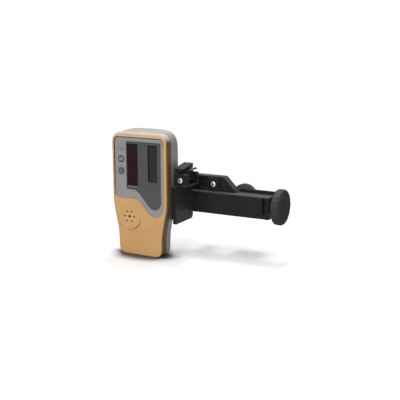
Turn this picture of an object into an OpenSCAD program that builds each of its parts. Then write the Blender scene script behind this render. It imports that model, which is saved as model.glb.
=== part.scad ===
/* [Receiver case] */
// Height of the whole receiver, to the crown of the rear shell
case_h = 146; // [140:1:156]
// Width of the case above the waist
case_w = 74; // [70:1:80]
// Width of the grip below the waist
grip_w = 60; // [58:1:66]
// Depth of the case above the waist
case_d = 28.5; // [27:0.5:32]
// Depth of the grip, front to battery cover
grip_d = 22; // [21.5:0.5:24]
// How far the rear shell's crown stands above the front shell
crown_h = 3; // [2:0.5:4]
// Depth of the front shell
front_d = 9; // [8.8:0.2:10]
// Wall thickness of both shells
wall = 2; // [1.6:0.1:2.4]
// Rounding of the front shell's front edge
edge_r = 2.5; // [2:0.5:4]
// Corner radius at the top of the front shell
top_r = 11; // [8:1:13]
// Corner radius at the foot of the case
foot_r = 10; // [7:1:12]
// Height where the waist begins to widen
waist_low = 18; // [14:1:22]
// Height where the waist reaches full width
waist_high = 68; // [64:1:74]
// Height where the back begins to step out
back_low = 64; // [64:1:66]
// Height where the back reaches full depth
back_high = 77; // [74:1:78]
// Thickness of the seal between the shells
seal_t = 0.6; // [0.4:0.1:1]
// How far the rear shell's sides stand in at the back
back_inset = 1; // [0.8:0.2:2.6]
// Corner radius along the rear shell's back
back_r = 3.5; // [3:0.5:8]

/* [Front panel] */
// Margin of the light panel at the case's right side
panel_side = 5; // [4:0.5:7]
// Margin of the light panel at the case's left side
panel_edge = 3.2; // [3:0.2:5]
// Margin of the light panel at the front shell's top
panel_drop = 5; // [3:0.2:6]
// Bottom of the light panel on the button side
panel_low = 66.9; // [62:0.5:72]
// Lowest point of the panel's S curve
panel_tip = 47.2; // [42:0.5:52]
// Width of the panel's S curve, as a share of the panel's width
curve_share = 0.372; // [0.3:0.001:0.42]
// Radius of the panel's lower corner, as a share of the panel's width
bend_share = 0.198; // [0.15:0.001:0.23]
// Depth of the recess the panel lies in
panel_recess = 1.4; // [1:0.1:1.5]
// Thickness of the light panel
panel_t = 0.6; // [0.5:0.1:1]
// Space between the buttons' centre line and the dark display panel
display_set = 7; // [6:0.5:8]
// Margin of the dark display panel beside the light one
display_side = 4.2; // [3:0.2:5]
// Margin of the dark display panel below the light one's top
display_drop = 5.1; // [4:0.1:6]
// Bottom of the dark display panel beside the sensor window
display_low = 77.6; // [74:0.2:78]
// Lowest point of the dark display panel
display_tip = 55.7; // [52:0.2:60]
// Thickness of the dark display panel
display_t = 0.75; // [0.7:0.05:1.1]
// Width of the red sensor window
sensor_w = 14.2; // [12:0.2:15]
// Bottom of the sensor window
sensor_low = 80.3; // [78.2:0.1:82]
// Margin of the sensor window below the dark panel's top
sensor_drop = 2.6; // [2:0.1:8]
// Left edge of the display window, as a share of the dark panel beside the sensor window
lcd_share = 0.45; // [0.4:0.01:0.5]
// Width of the display window, as a share of the dark panel beside the sensor window
lcd_w_share = 0.4; // [0.35:0.01:0.45]
// Bottom of the display window
lcd_low = 87.8; // [84:0.2:90]
// Margin of the display window below the dark panel's top
lcd_drop = 3.1; // [2:0.1:8]
// Flange that holds each window from behind
window_flange = 1; // [0.6:0.1:1.2]
// Thickness of the window flange
flange_t = 1.4; // [1:0.1:1.6]

/* [Buttons] */
// Distance of the button column from the case's side
button_set = 12.2; // [11.8:0.1:13.2]
// Distance of the middle button below the case's top
button_drop = 33.8; // [32:0.2:36]
// Spacing of the buttons
button_pitch = 13.9; // [12:0.1:14.4]
// Radius of a button
button_r = 4; // [3.4:0.1:4.2]
// Travel of a button
button_travel = 0.7; // [0.4:0.1:0.8]
// How far a button stands proud of the case front
button_proud = 0.5; // [0.3:0.1:0.9]

/* [Speaker] */
// Sideways place of the speaker
speaker_x = -14.1; // [-16:0.1:-12]
// Height of the speaker
speaker_z = 45.5; // [43:0.5:47]
// Radius of the raised speaker disc
speaker_r = 16; // [14:0.5:17]
// Tilt of the speaker disc, so that it fades out at its top
speaker_tilt = 5; // [2:0.1:6]
// Radius of the ring of sound holes
sound_ring_r = 6.4; // [5:0.1:8]
// Radius of a ring hole
sound_hole_r = 1.05; // [0.8:0.05:1.3]
// Radius of the middle hole
sound_centre_r = 1.6; // [1.2:0.1:2]
// Number of holes in the ring
sound_holes = 6; // [5:1:8]
// Radius of the sounder disc
sounder_r = 11; // [9:0.5:11]

/* [Battery bay] */
// Radius of a battery cell
cell_r = 7.25; // [7:0.05:7.25]
// Length of a battery cell with its nub
cell_l = 50.5; // [49:0.5:50.5]
// Floor of the battery bay
bay_floor = 5.5; // [5:0.5:6]
// Thickness of the bay walls
bay_wall = 1.2; // [1:0.1:1.4]
// Length of a pressed battery spring
spring_l = 2.6; // [2:0.2:3]
// Thickness of the battery cover
cover_t = 1.6; // [1.4:0.1:1.8]
// Radius of the cover's hinge pin
hinge_pin_r = 1; // [0.8:0.1:1.1]

/* [Receiver bracket] */
// Gap between the receiver's side and the bracket
bracket_gap = 1.2; // [0.8:0.1:2]
// Thickness of the bracket's side plate
plate_t = 4.4; // [3.6:0.2:5]
// Set back of the side plate from the receiver's front
plate_set = 9.5; // [9:0.5:11]
// Bottom of the side plate
plate_low = 40; // [36:0.5:42]
// Top of the side plate, where the lever housing begins
plate_top = 83; // [81:0.5:84]
// Top of the lever housing
housing_top = 97.6; // [96:0.2:99]
// Width of the lever housing
housing_w = 16.8; // [16:0.2:18]
// Thickness of the lever housing's cheeks
cheek_t = 4.5; // [3.5:0.1:5]
// Depth of the space between the cheeks
lever_d = 18.6; // [17:0.2:20]
// Height of the lever's pivot
pivot_z = 90.5; // [90:0.1:91.5]
// Radius of the lever's pivot screw
pivot_r = 2; // [1.6:0.1:2.4]
// Radius of the lever's hub
hub_r = 5; // [4.6:0.1:5.2]
// Top of the lever's grip ribs at the back
grip_top = 108.2; // [107:0.1:110]
// Fall of the lever's ribbed top towards the front
grip_fall = 4; // [2:0.1:5]
// Length of the lever's grip
grip_l = 11.8; // [10:0.2:13]
// Number of grip ribs
grip_ribs = 6; // [4:1:8]

/* [Rod clamp] */
// Distance from the receiver's front to the arm's front face
arm_set = 49.7; // [49.7:0.1:54]
// Depth of the arm
arm_d = 19.3; // [18:0.1:21]
// Bottom of the arm
arm_low = 47.3; // [46:0.1:48]
// Height of the arm
arm_h = 25.5; // [24:0.5:27]
// Left end of the arm, behind the receiver
arm_left = 24; // [22:0.5:25]
// Right end of the arm
arm_right = 138.7; // [138:0.1:146]
// Wall thickness of the arm
arm_wall = 2.4; // [2:0.1:2.8]
// Height of the rib along the arm's rear edge
lip_h = 4.2; // [3:0.1:5]
// Face of the fixed jaw
jaw_face = 56; // [52:0.5:58]
// Reach of the jaws behind the arm
jaw_reach = 26; // [22:1:32]
// Top of the fixed jaw's fence
jaw_top = 90.2; // [88:0.2:92]
// Top of the fixed jaw's leg behind the arm
leg_top = 84.6; // [82:0.2:86]
// Where the fixed jaw's sloped end meets its top
slope_x = 78.1; // [77:0.1:80]
// Thickness of the rubber jaw pads
pad_t = 2; // [1.5:0.1:2.5]
// Centre of the moving jaw, as stored
jaw_x = 102.5; // [101:0.5:104]
// Half width of the moving jaw
jaw_r = 16.2; // [15:0.1:17]
// Radius of the moving jaw's round top plate
hump_r = 15.6; // [14:0.1:16]
// How far the moving jaw closes from there
jaw_close = 14; // [10:1:14]
// How far the moving jaw opens from there
jaw_open = 16; // [10:1:16]
// Height of the clamp screw's axis
screw_z = 61.5; // [61:0.1:62]
// Radius of the clamp screw
screw_r = 3; // [2.5:0.1:3.2]

/* [Clamp knob] */
// Radius of the knob
knob_r = 20.5; // [18:0.5:22]
// Thickness of the knob
knob_t = 9.6; // [8:0.2:13]
// Gap between the arm and the knob, bridged by its neck
knob_gap = 5.5; // [4:0.1:7]
// Depth of the dish in the knob's face
dish_d = 2; // [1:0.1:3]
// Width of the rim around the dish
rim_w = 2.8; // [2:0.1:5]
// Number of finger flutes round the rim
flutes = 20; // [12:1:24]

/* [Hidden] */
$fn = 48;

// Overrun of every cut past the face it opens
over = 1;
// Running clearance round a turning or sliding shaft
run_gap = 0.06;
// Clearance round a pressed-in or dropped-in piece
fit_gap = 0.15;
// Clearance between pieces that pass each other
pass_gap = 0.3;
// How far a boss or post is sunk into the wall it stands on
root = 0.5;
// Steps in a rounded corner of a case outline
corner_steps = 6;
// Steps in a flowing side of a case outline
side_steps = 12;

// Planes of the case, front to back, with the base centred on the origin
front_h = case_h - crown_h;
front_y = -grip_d / 2;
part_y = front_y + front_d;
back_y = front_y + case_d;
grip_y = grip_d / 2;
inner_y = front_y + wall;
half_wall = wall / 2;
front_rim_y = part_y - seal_t / 2;
rear_rim_y = part_y + seal_t / 2;

function ease(t) = let (u = min(max(t, 0), 1)) u * u * (3 - 2 * u);
function mix(a, b, t) = a + (b - a) * t;
function arc(c, r, from, to, steps) =
    [for (i = [0 : steps]) let (a = mix(from, to, i / steps)) c + r * [cos(a), sin(a)]];
function mirrored(pts) = [for (i = [len(pts) - 1 : -1 : 0]) [-pts[i].x, pts[i].y]];
function side_x(z) = mix(grip_w, case_w, ease((z - waist_low) / (waist_high - waist_low))) / 2;

// Right half of the front shell's outline, from the foot to the top
front_half = concat(
    arc([grip_w / 2 - foot_r, foot_r], foot_r, -90, 0, corner_steps),
    [for (i = [1 : side_steps]) let (z = mix(foot_r, waist_high, i / side_steps)) [side_x(z), z]],
    arc([case_w / 2 - top_r, front_h - top_r], top_r, 0, 90, corner_steps));
front_outline = concat(front_half, mirrored(front_half));

// An outline moved inwards along its own normals
function inset(pts, d) =
    let (n = len(pts))
    [for (i = [0 : n - 1])
        let (a = pts[(i + n - 1) % n], b = pts[(i + 1) % n], t = (b - a) / norm(b - a))
        pts[i] + d * [-t.y, t.x]];

// A closed skin through rings of points that all have the same count
module loft(rings) {
    n = len(rings[0]);
    points = [for (ring = rings) for (p = ring) p];
    faces = concat(
        [[for (i = [0 : n - 1]) i]],
        [for (j = [0 : len(rings) - 2]) for (i = [0 : n - 1]) let (k = (i + 1) % n)
            for (f = [[j * n + k, j * n + i, j * n + n + i], [j * n + k, j * n + n + i, j * n + n + k]]) f],
        [[for (i = [n - 1 : -1 : 0]) (len(rings) - 1) * n + i]]);
    polyhedron(points, faces);
}

// A flat outline in X and Z, carried along Y from one plane to another
module along_y(from, to) {
    translate([0, to, 0]) rotate([90, 0, 0]) linear_extrude(to - from) children();
}

// A flat outline in Y and Z, carried along X from one plane to another
module along_x(from, to) {
    translate([from, 0, 0]) rotate([90, 0, 90]) linear_extrude(to - from) children();
}

// A box between two corners
module block(low, high) {
    translate(low) cube(high - low);
}

// A round bar along Y at a place in X and Z
module bar_y(x, z, r, from, to) {
    translate([x, to, z]) rotate([90, 0, 0]) cylinder(r = r, h = to - from);
}

// A round bar along X at a place in Y and Z
module bar_x(y, z, r, from, to) {
    translate([from, y, z]) rotate([0, 90, 0]) cylinder(r = r, h = to - from);
}

// A cross-shaped driver slot in a screw head that faces along Y
slot_w_share = 0.3;
slot_l_share = 0.7;
slot_d_share = 0.35;
module cross_slot(x, z, r, y) {
    w = r * slot_w_share / 2;
    l = r * slot_l_share;
    d = r * slot_d_share;
    block([x - l, y - d, z - w], [x + l, y + d, z + w]);
    block([x - w, y - d, z - l], [x + w, y + d, z + l]);
}

// A rectangle between two corners with rounded corners, as points
function rounded(low, high, r, steps) = concat(
    arc([high.x - r, low.y + r], r, -90, 0, steps),
    arc([high.x - r, high.y - r], r, 0, 90, steps),
    arc([low.x + r, high.y - r], r, 90, 180, steps),
    arc([low.x + r, low.y + r], r, 180, 270, steps));

// Case screws, seen from behind: two in the top corners and two in the foot
screw_top_set = 8.5;
screw_side_set = 7;
screw_foot_set = 7.5;
screw_foot_z = 9.5;
case_screw_r = 1.3;
case_boss_r = 3;
case_head_r = 2.5;
case_head_t = 1.6;
case_head_sink = 2;
screw_tip_y = inner_y + wall;
case_screw_places = [
    [case_w / 2 - screw_side_set, front_h - screw_top_set, back_y - case_head_sink],
    [-case_w / 2 + screw_side_set, front_h - screw_top_set, back_y - case_head_sink],
    [grip_w / 2 - screw_foot_set, screw_foot_z, grip_y - case_head_sink],
    [-grip_w / 2 + screw_foot_set, screw_foot_z, grip_y - case_head_sink]];

// The panel's S curve, as a share of its fall at even steps across
panel_x = case_w / 2 - panel_side;
panel_left = panel_edge - case_w / 2;
curve_w = (panel_x - panel_left) * curve_share;
panel_bend = (panel_x - panel_left) * bend_share;
panel_top = front_h - panel_drop;
curve_end = panel_x - panel_bend;
curve_start = curve_end - curve_w;
panel_r = 5;
curve_steps = 12;
panel_outline = concat(
    [for (i = [0 : curve_steps - 1]) let (t = i / curve_steps)
        [mix(curve_start, curve_end, t), mix(panel_low, panel_tip, ease(t))]],
    arc([curve_end, panel_tip + panel_bend], panel_bend, -90, 0, corner_steps),
    arc([panel_x - panel_r, panel_top - panel_r], panel_r, 0, 90, corner_steps),
    arc([panel_left + panel_r, panel_top - panel_r], panel_r, 90, 180, corner_steps),
    arc([panel_left + panel_r, panel_low + panel_r], panel_r, 180, 270, corner_steps));

// The dark panel follows the same S curve higher up
button_x = button_set - case_w / 2;
display_left = button_x + display_set;
display_right = panel_x - display_side;
display_top = panel_top - display_drop;
display_r = 1.5;
display_bend = 9;
display_lead = 3;
display_curve_start = curve_start - display_lead;
display_outline = concat(
    [for (i = [0 : curve_steps - 1]) let (t = i / curve_steps)
        [mix(display_curve_start, display_right - display_bend, t),
         mix(display_low, display_tip, ease(t))]],
    arc([display_right - display_bend, display_tip + display_bend], display_bend, -90, 0, corner_steps),
    arc([display_right - display_r, display_top - display_r], display_r, 0, 90, corner_steps),
    arc([display_left + display_r, display_top - display_r], display_r, 90, 180, corner_steps),
    arc([display_left + display_r, display_low + display_r], display_r, 180, 270, corner_steps));

// Planes of the panel stack
recess_y = front_y + panel_recess;
panel_face_y = recess_y - panel_t;
display_face_y = recess_y - display_t;
window_sink = 0.25;
window_face_y = display_face_y + window_sink;
window_r = 0.8;
sensor_left = display_left + window_flange + fit_gap;
sensor_right = sensor_left + sensor_w;
sensor_top = display_top - sensor_drop;
lcd_room = display_right - sensor_right;
lcd_left = sensor_right + lcd_room * lcd_share;
lcd_right = lcd_left + lcd_room * lcd_w_share;
lcd_top = display_top - lcd_drop;
sensor_box = [[sensor_left, sensor_low], [sensor_right, sensor_top]];
lcd_box = [[lcd_left, lcd_low], [lcd_right, lcd_top]];
flange_room = window_flange + fit_gap;
aperture = [sensor_box[0] - [flange_room, flange_room],
            [lcd_box[1].x, max(sensor_top, lcd_top)] + [flange_room, flange_room]];

// Buttons from the top down
button_z = case_h - button_drop;
button_places = [for (i = [1 : -1 : -1]) [button_x, button_z + i * button_pitch]];
button_gap = 0.2;
button_edge = 0.5;
button_flange = 0.9;
button_flange_t = 0.8;
button_flange_y = inner_y + pass_gap;
mark_r = 2.1;
mark_w = 0.6;
mark_sink = 0.25;
mat_x = 5;
mat_low = button_z - button_pitch - mat_x;

// Boards
board_t = 1.6;
board_sink = 0.2;
board_y = part_y - board_sink;
board_low = 66;
board_drop = 15.4;
board_top = case_h - board_drop;
board_side = 6.5;
board_x = case_w / 2 - board_side;
board_screw_r = 1;
board_head_r = 2;
board_head_t = 1.2;
board_screw_l = 5;
pillar_r = 2.4;
pillar_set = 2.1;
pillar_clear = pillar_r + 2 * pass_gap;
pillar_places = [
    [board_x - pillar_set, board_low + pillar_set], [button_x + mat_x + pillar_clear, board_low + pillar_set],
    [board_x - pillar_set, board_top - pillar_set], [-board_x + pillar_set, mat_low - pillar_clear]];

// Battery bay, with two cells side by side standing on end
cell_gap = 2.7;
cell_x = cell_r + cell_gap / 2;
cell_play = 0.2;
nub_r = 2.6;
nub_l = 1;
contact_t = 0.5;
bay_x = cell_x + cell_r + 2 * cell_play;
cover_y = grip_y - cover_t;
cell_y = cover_y - cell_play - cell_r;
bay_front_y = cell_y - cell_r - cell_play;
cell_body_l = cell_l - nub_l;
bay_top = bay_floor + 2 * contact_t + spring_l + cell_l;

// Battery cover and its hinge
cover_side = 2.2;
cover_x = bay_x + cover_side;
cover_top_set = 1;
cover_top = bay_top + cover_top_set;
cover_r = 2;
cover_gap = 0.25;
hinge_drop = 1.3;
hinge_z = bay_floor - hinge_drop;
hinge_y = grip_y - cover_t - hinge_pin_r / 2;
knuckle_wall = 0.7;
knuckle_r = hinge_pin_r + knuckle_wall;
knuckle_x = 14;
hinge_sweep = max(knuckle_r, grip_y - hinge_y);
grip_groove_r = 5;
grip_groove_d = 0.8;
grip_groove_set = 8;

// Crown of the rear shell: side, shoulder and top, as a smooth curve
crown_drop = 22;
crown_flat = 14;
crown_side_share = 0.62;
crown_top_share = 0.8;
crown_steps = 8;
crown_edge = 5;
crown_back = 7;
foot_edge = 3;
back_x = case_w / 2 - back_inset;
function curve4(a, b, c, d, t) =
    pow(1 - t, 3) * a + 3 * pow(1 - t, 2) * t * b + 3 * (1 - t) * t * t * c + t * t * t * d;
crown = [for (i = [0 : crown_steps])
    curve4([back_x, case_h - crown_drop], [back_x, case_h - crown_drop * (1 - crown_side_share)],
           [mix(crown_flat, back_x, crown_top_share), case_h], [crown_flat, case_h], i / crown_steps)];
function round_off(d, r) = d >= r ? 0 : r - sqrt(r * r - (r - d) * (r - d));
function back_at(z) =
    mix(grip_y, back_y, ease((z - back_low) / (back_high - back_low)))
    - round_off(z, foot_edge) - round_off(case_h - z, crown_edge);
function rim_at(z) =
    mix(rear_rim_y, rear_rim_y + crown_back, ease((z - front_h + wall) / (case_h - front_h + wall)));
function foot_x(z) = side_x(z) - round_off(z, foot_r);

// One level of the rear shell: straight across the rim, round at the back corners
function rear_level(rim_x, x, z) =
    let (corner = arc([x - back_r, back_at(z) - back_r], back_r, 0, 90, corner_steps))
    let (half = concat([[rim_x, rim_at(z)]], corner))
    [for (p = concat(half, mirrored(half))) [p.x, p.y, z]];
rim_inset = 0.5;
foot_levels = [for (i = [0 : corner_steps]) foot_r * (1 - cos(90 * i / corner_steps))];
rear_side_steps = 16;
side_levels = [for (i = [1 : rear_side_steps]) mix(foot_r, case_h - crown_drop, i / rear_side_steps)];
rear_levels = concat(
    [for (z = foot_levels) rear_level(foot_x(z) - rim_inset, foot_x(z) - back_inset, z)],
    [for (z = side_levels) rear_level(side_x(z) - rim_inset, side_x(z) - back_inset, z)],
    [for (i = [1 : crown_steps]) let (p = crown[i])
        rear_level(p.x + (back_inset - rim_inset) * (1 - i / crown_steps), p.x, p.y)]);

// Cavity of the rear shell above the waist
hollow_x = case_w / 2 - 2 * wall;
hollow_top = case_h - 2 * wall;
hollow_low = back_high + wall;
hollow_cut = 14;
upper_hollow = [[hollow_x, hollow_low], [hollow_x, hollow_top - hollow_cut],
    [hollow_x - hollow_cut, hollow_top],
    [-hollow_x + hollow_cut, hollow_top], [-hollow_x, hollow_top - hollow_cut], [-hollow_x, hollow_low]];
lower_hollow = inset(front_outline, rim_inset + wall + seal_t);

// Slide rail on the receiver's back, which the bracket holds
rail_x = 20;
rail_neck_w = 10;
rail_w = 16;
rail_neck_t = 2;
rail_t = 2.5;
rail_low = 81;
rail_top = 104;

// Rear display, for reading the receiver from behind
rear_lcd_left = -26;
rear_lcd_w = 22;
rear_lcd_low = 96;
rear_lcd_drop = 20;
rear_lcd_top = case_h - rear_lcd_drop;
rear_lcd_t = 3;
rear_lcd_box = [[rear_lcd_left, rear_lcd_low], [rear_lcd_left + rear_lcd_w, rear_lcd_top]];

function grown(box, d) = [box[0] - [d, d], box[1] + [d, d]];

module window_outline(box, r) polygon(rounded(box[0], box[1], r, corner_steps));

module front_rings() {
    loft(concat(
        [for (y = [front_rim_y, front_y + edge_r]) [for (p = front_outline) [p.x, y, p.y]]],
        [for (i = [1 : corner_steps]) let (a = 90 * i / corner_steps)
            [for (p = inset(front_outline, edge_r * (1 - cos(a))))
                [p.x, front_y + edge_r * (1 - sin(a)), p.y]]]));
}

// Sounder seat behind the sound holes
sounder_t = 2;
sounder_wall = 1.2;
sounder_stand = 0.3;
speaker_t = 1.2;

module front_shell() {
    color([0.82, 0.65, 0.42]) difference() {
        union() {
            difference() {
                union() {
                    front_rings();
                    speaker_disc();
                }
                along_y(inner_y, front_rim_y + over) polygon(inset(front_outline, wall));
            }
            for (p = case_screw_places) bar_y(p[0], p[1], case_boss_r, inner_y - root, front_rim_y);
            for (p = pillar_places) bar_y(p.x, p.y, pillar_r, inner_y - root, board_y);
            difference() {
                bar_y(speaker_x, speaker_z, sounder_r + fit_gap + sounder_wall, inner_y - root,
                      inner_y + sounder_stand + sounder_t);
                bar_y(speaker_x, speaker_z, sounder_r + fit_gap, inner_y, front_rim_y);
            }
        }
        along_y(front_y - over, recess_y) polygon(inset(panel_outline, -fit_gap));
        along_y(front_y - over, inner_y + over) window_outline(aperture, window_r);
        for (p = button_places) bar_y(p.x, p.y, button_r + button_gap, front_y, inner_y + over);
        for (p = case_screw_places) bar_y(p[0], p[1], case_screw_r + fit_gap, inner_y, front_rim_y + over);
        for (p = pillar_places) bar_y(p.x, p.y, board_screw_r + fit_gap, inner_y, board_y + over);
        bar_y(speaker_x, speaker_z, sound_centre_r, front_y - over - speaker_r * sin(speaker_tilt),
              inner_y + over);
        for (i = [0 : sound_holes - 1]) let (a = 360 * i / sound_holes)
            bar_y(speaker_x + sound_ring_r * cos(a), speaker_z + sound_ring_r * sin(a), sound_hole_r,
                  front_y - over - speaker_r * sin(speaker_tilt), inner_y + over);
    }
}

// The raised disc leans so that its lower edge stands proud and its top sinks into the face
module speaker_disc() {
    translate([speaker_x, front_y, speaker_z]) rotate([90 - speaker_tilt, 0, 0])
        translate([0, 0, -speaker_t]) cylinder(r1 = speaker_r, r2 = speaker_r - speaker_t, h = speaker_t);
}

module rear_shell() {
    color([0.47, 0.48, 0.46]) difference() {
        union() {
            difference() {
                loft(rear_levels);
                along_y(rear_rim_y - over, back_y - wall) polygon(upper_hollow);
                difference() {
                    along_y(rear_rim_y - over, grip_y - wall) intersection() {
                        polygon(lower_hollow);
                        translate([-case_w, 0]) square([2 * case_w, hollow_low + over]);
                    }
                    block([-bay_x - bay_wall, bay_front_y - bay_wall, 0],
                          [bay_x + bay_wall, grip_y, bay_top + bay_wall]);
                    for (p = case_screw_places) bar_y(p[0], p[1], case_boss_r, rear_rim_y - over, back_y);
                }
            }
            block([-bay_x - bay_wall, bay_front_y - bay_wall, bay_floor - bay_wall],
                  [bay_x + bay_wall, rear_rim_y + over, bay_top + bay_wall]);
            for (p = case_screw_places)
                bar_y(p[0], p[1], case_boss_r, rear_rim_y - seal_t, p[2] - half_wall);
            block([rail_x - rail_neck_w / 2, back_y - half_wall, rail_low],
                  [rail_x + rail_neck_w / 2, back_y + rail_neck_t, rail_top]);
            block([rail_x - rail_w / 2, back_y + rail_neck_t, rail_low],
                  [rail_x + rail_w / 2, back_y + rail_neck_t + rail_t, rail_top]);
        }
        block([-bay_x, bay_front_y, bay_floor], [bay_x, grip_y + over, bay_top]);
        along_y(cover_y, grip_y + over)
            polygon(rounded([-cover_x - cover_gap, hinge_z - hinge_sweep - cover_gap],
                            [cover_x + cover_gap, cover_top + cover_gap], cover_r, corner_steps));
        block([-knuckle_x - pass_gap, hinge_y - knuckle_r - pass_gap, hinge_z - hinge_sweep - pass_gap],
              [knuckle_x + pass_gap, grip_y + over, hinge_z + knuckle_r + pass_gap]);
        bar_x(hinge_y, hinge_z, hinge_pin_r + run_gap, -cover_x, cover_x);
        for (p = case_screw_places) {
            bar_y(p[0], p[1], case_screw_r + fit_gap, front_rim_y, back_y);
            bar_y(p[0], p[1], case_head_r + fit_gap, p[2] - case_head_t, back_y + over);
        }
        along_y(back_y - wall - over, back_y + over) window_outline(rear_lcd_box, window_r);
        along_y(back_y - half_wall, back_y + over)
            window_outline(grown(rear_lcd_box, window_flange), window_r);
    }
}

module case_seal() {
    color([0.15, 0.15, 0.14]) along_y(front_rim_y, rear_rim_y) difference() {
        polygon(inset(front_outline, rim_inset + seal_t));
        polygon(inset(front_outline, rim_inset + wall));
    }
}

module case_screws() {
    color("silver") for (p = case_screw_places) difference() {
        union() {
            bar_y(p[0], p[1], case_head_r, p[2] - case_head_t, p[2]);
            bar_y(p[0], p[1], case_screw_r, screw_tip_y, p[2] - case_head_t);
        }
        cross_slot(p[0], p[1], case_head_r, p[2]);
    }
}

module front_panel() {
    color([0.6, 0.6, 0.58]) difference() {
        along_y(panel_face_y, recess_y) polygon(panel_outline);
        along_y(panel_face_y - over, recess_y + over) polygon(inset(display_outline, -fit_gap));
        for (p = button_places)
            bar_y(p.x, p.y, button_r + button_gap, panel_face_y - over, recess_y + over);
    }
}

module display_panel() {
    color([0.34, 0.34, 0.35]) difference() {
        along_y(display_face_y, recess_y) polygon(display_outline);
        for (box = [sensor_box, lcd_box])
            along_y(display_face_y - over, recess_y + over) window_outline(grown(box, fit_gap), window_r);
    }
}

// A window pane that fits an opening, with a flange behind it
module pane(box) {
    along_y(window_face_y, recess_y) window_outline(box, window_r - fit_gap);
    along_y(recess_y, recess_y + flange_t) window_outline(grown(box, window_flange), window_r);
}

module sensor_window() {
    color([0.25, 0.05, 0.08]) pane(sensor_box);
}

module lcd_window() {
    color([0.16, 0.16, 0.17]) pane(lcd_box);
}

module lcd_module() {
    color([0.55, 0.6, 0.52]) {
        along_y(recess_y + flange_t, board_y) window_outline(grown(lcd_box, window_flange), window_r);
    }
}

// A round button with a softened edge and a flange that keeps it in the case
module button(place) {
    y = front_y - button_proud;
    translate([place.x, y, place.y]) rotate([-90, 0, 0]) {
        cylinder(r1 = button_r - button_edge, r2 = button_r, h = button_edge);
        translate([0, 0, button_edge])
            cylinder(r = button_r, h = button_flange_y - y - button_edge);
        translate([0, 0, button_flange_y - y])
            cylinder(r = button_r + button_flange, h = button_flange_t);
    }
}

// A ring pressed into the middle of a button's face
module ring_mark(place) {
    y = front_y - button_proud;
    difference() {
        bar_y(place.x, place.y, mark_r, y - over, y + mark_sink);
        bar_y(place.x, place.y, mark_r - mark_w, y - over, y + mark_sink);
    }
}

module power_button() {
    color([0.45, 0.62, 0.5]) difference() {
        button(button_places[0]);
        bar_y(button_places[0].x, button_places[0].y, mark_r, front_y - button_proud - over,
              front_y - button_proud + mark_sink);
    }
}

module tone_button() {
    color([0.3, 0.3, 0.33]) difference() {
        button(button_places[1]);
        ring_mark(button_places[1]);
    }
}

module precision_button() {
    color([0.3, 0.3, 0.33]) difference() {
        button(button_places[2]);
        along_y(front_y - button_proud - over, front_y - button_proud + mark_sink)
            for (s = [-1, 1]) translate([button_x, button_places[2].y + s * mark_w])
                square([2 * mark_r, mark_w], center = true);
    }
}

// Rubber mat with a dome under each button
mat_t = 1.5;
mat_dome_r = 3;
module keypad_mat() {
    color([0.7, 0.7, 0.68]) {
        along_y(board_y - mat_t, board_y)
            square_between([button_x - mat_x, mat_low],
                           [button_x + mat_x, button_z + button_pitch + mat_dome_r]);
        for (p = button_places)
            bar_y(p.x, p.y, mat_dome_r, button_flange_y + button_flange_t + button_travel + pass_gap,
                  board_y - mat_t);
    }
}

module square_between(low, high) {
    translate(low) square(high - low);
}

module main_board() {
    color([0.1, 0.35, 0.2]) difference() {
        along_y(board_y, board_y + board_t) square_between([-board_x, board_low], [board_x, board_top]);
        for (p = pillar_places)
            bar_y(p.x, p.y, board_screw_r + fit_gap, board_y - over, board_y + board_t + over);
    }
}

module board_screws() {
    color("silver") for (p = pillar_places) {
        bar_y(p.x, p.y, board_head_r, board_y + board_t, board_y + board_t + board_head_t);
        bar_y(p.x, p.y, board_screw_r, board_y + board_t - board_screw_l, board_y + board_t);
    }
}

// Photodiodes in a row behind the red window, on a board of their own
sensor_board_t = 1.2;
diode_t = 1.5;
diode_count = 8;
diode_w_share = 0.5;
diode_h_share = 0.82;
sensor_board_box = grown(sensor_box, -window_flange);
diode_pitch = (sensor_board_box[1].y - sensor_board_box[0].y) / diode_count;
module sensor_board() {
    color([0.1, 0.3, 0.3])
        along_y(board_y - sensor_board_t, board_y) square_between(sensor_board_box[0], sensor_board_box[1]);
}

module photodiodes() {
    x = (sensor_box[0].x + sensor_box[1].x) / 2;
    color([0.1, 0.1, 0.12]) for (i = [0 : diode_count - 1])
        along_y(board_y - sensor_board_t - diode_t, board_y - sensor_board_t)
            translate([x, sensor_board_box[0].y + diode_pitch / 2 + i * diode_pitch])
                square([sensor_w * diode_w_share, diode_pitch * diode_h_share], center = true);
}

module sounder() {
    color([0.75, 0.62, 0.3])
        bar_y(speaker_x, speaker_z, sounder_r, inner_y + sounder_stand,
              inner_y + sounder_stand + sounder_t);
}

module rear_window() {
    color([0.16, 0.16, 0.17]) {
        along_y(back_y - half_wall, back_y - window_sink)
            window_outline(grown(rear_lcd_box, window_flange - fit_gap), window_r);
        along_y(back_y - wall, back_y - half_wall)
            window_outline(grown(rear_lcd_box, -fit_gap), window_r - fit_gap);
    }
}

module rear_lcd() {
    color([0.55, 0.6, 0.52]) along_y(back_y - wall - rear_lcd_t, back_y - wall)
        window_outline(grown(rear_lcd_box, window_flange), window_r);
}

// The two cells stand opposite ways up: each has a spring at one end and a nub at the other
cell_low = [bay_floor + contact_t + spring_l, bay_floor + contact_t + nub_l];
module battery_cells() {
    color([0.3, 0.32, 0.36]) for (i = [0, 1]) let (x = (2 * i - 1) * cell_x) {
        translate([x, cell_y, cell_low[i]]) cylinder(r = cell_r, h = cell_body_l);
        translate([x, cell_y, i == 0 ? cell_low[0] + cell_body_l : cell_low[1] - nub_l])
            cylinder(r = nub_r, h = nub_l);
    }
}

spring_wide_share = 0.7;
spring_tip_share = 0.4;
module battery_springs() {
    color("silver") {
        translate([-cell_x, cell_y, bay_floor + contact_t])
            cylinder(r1 = cell_r * spring_wide_share, r2 = cell_r * spring_tip_share, h = spring_l);
        translate([cell_x, cell_y, bay_top - contact_t - spring_l])
            cylinder(r1 = cell_r * spring_tip_share, r2 = cell_r * spring_wide_share, h = spring_l);
    }
}

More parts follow.
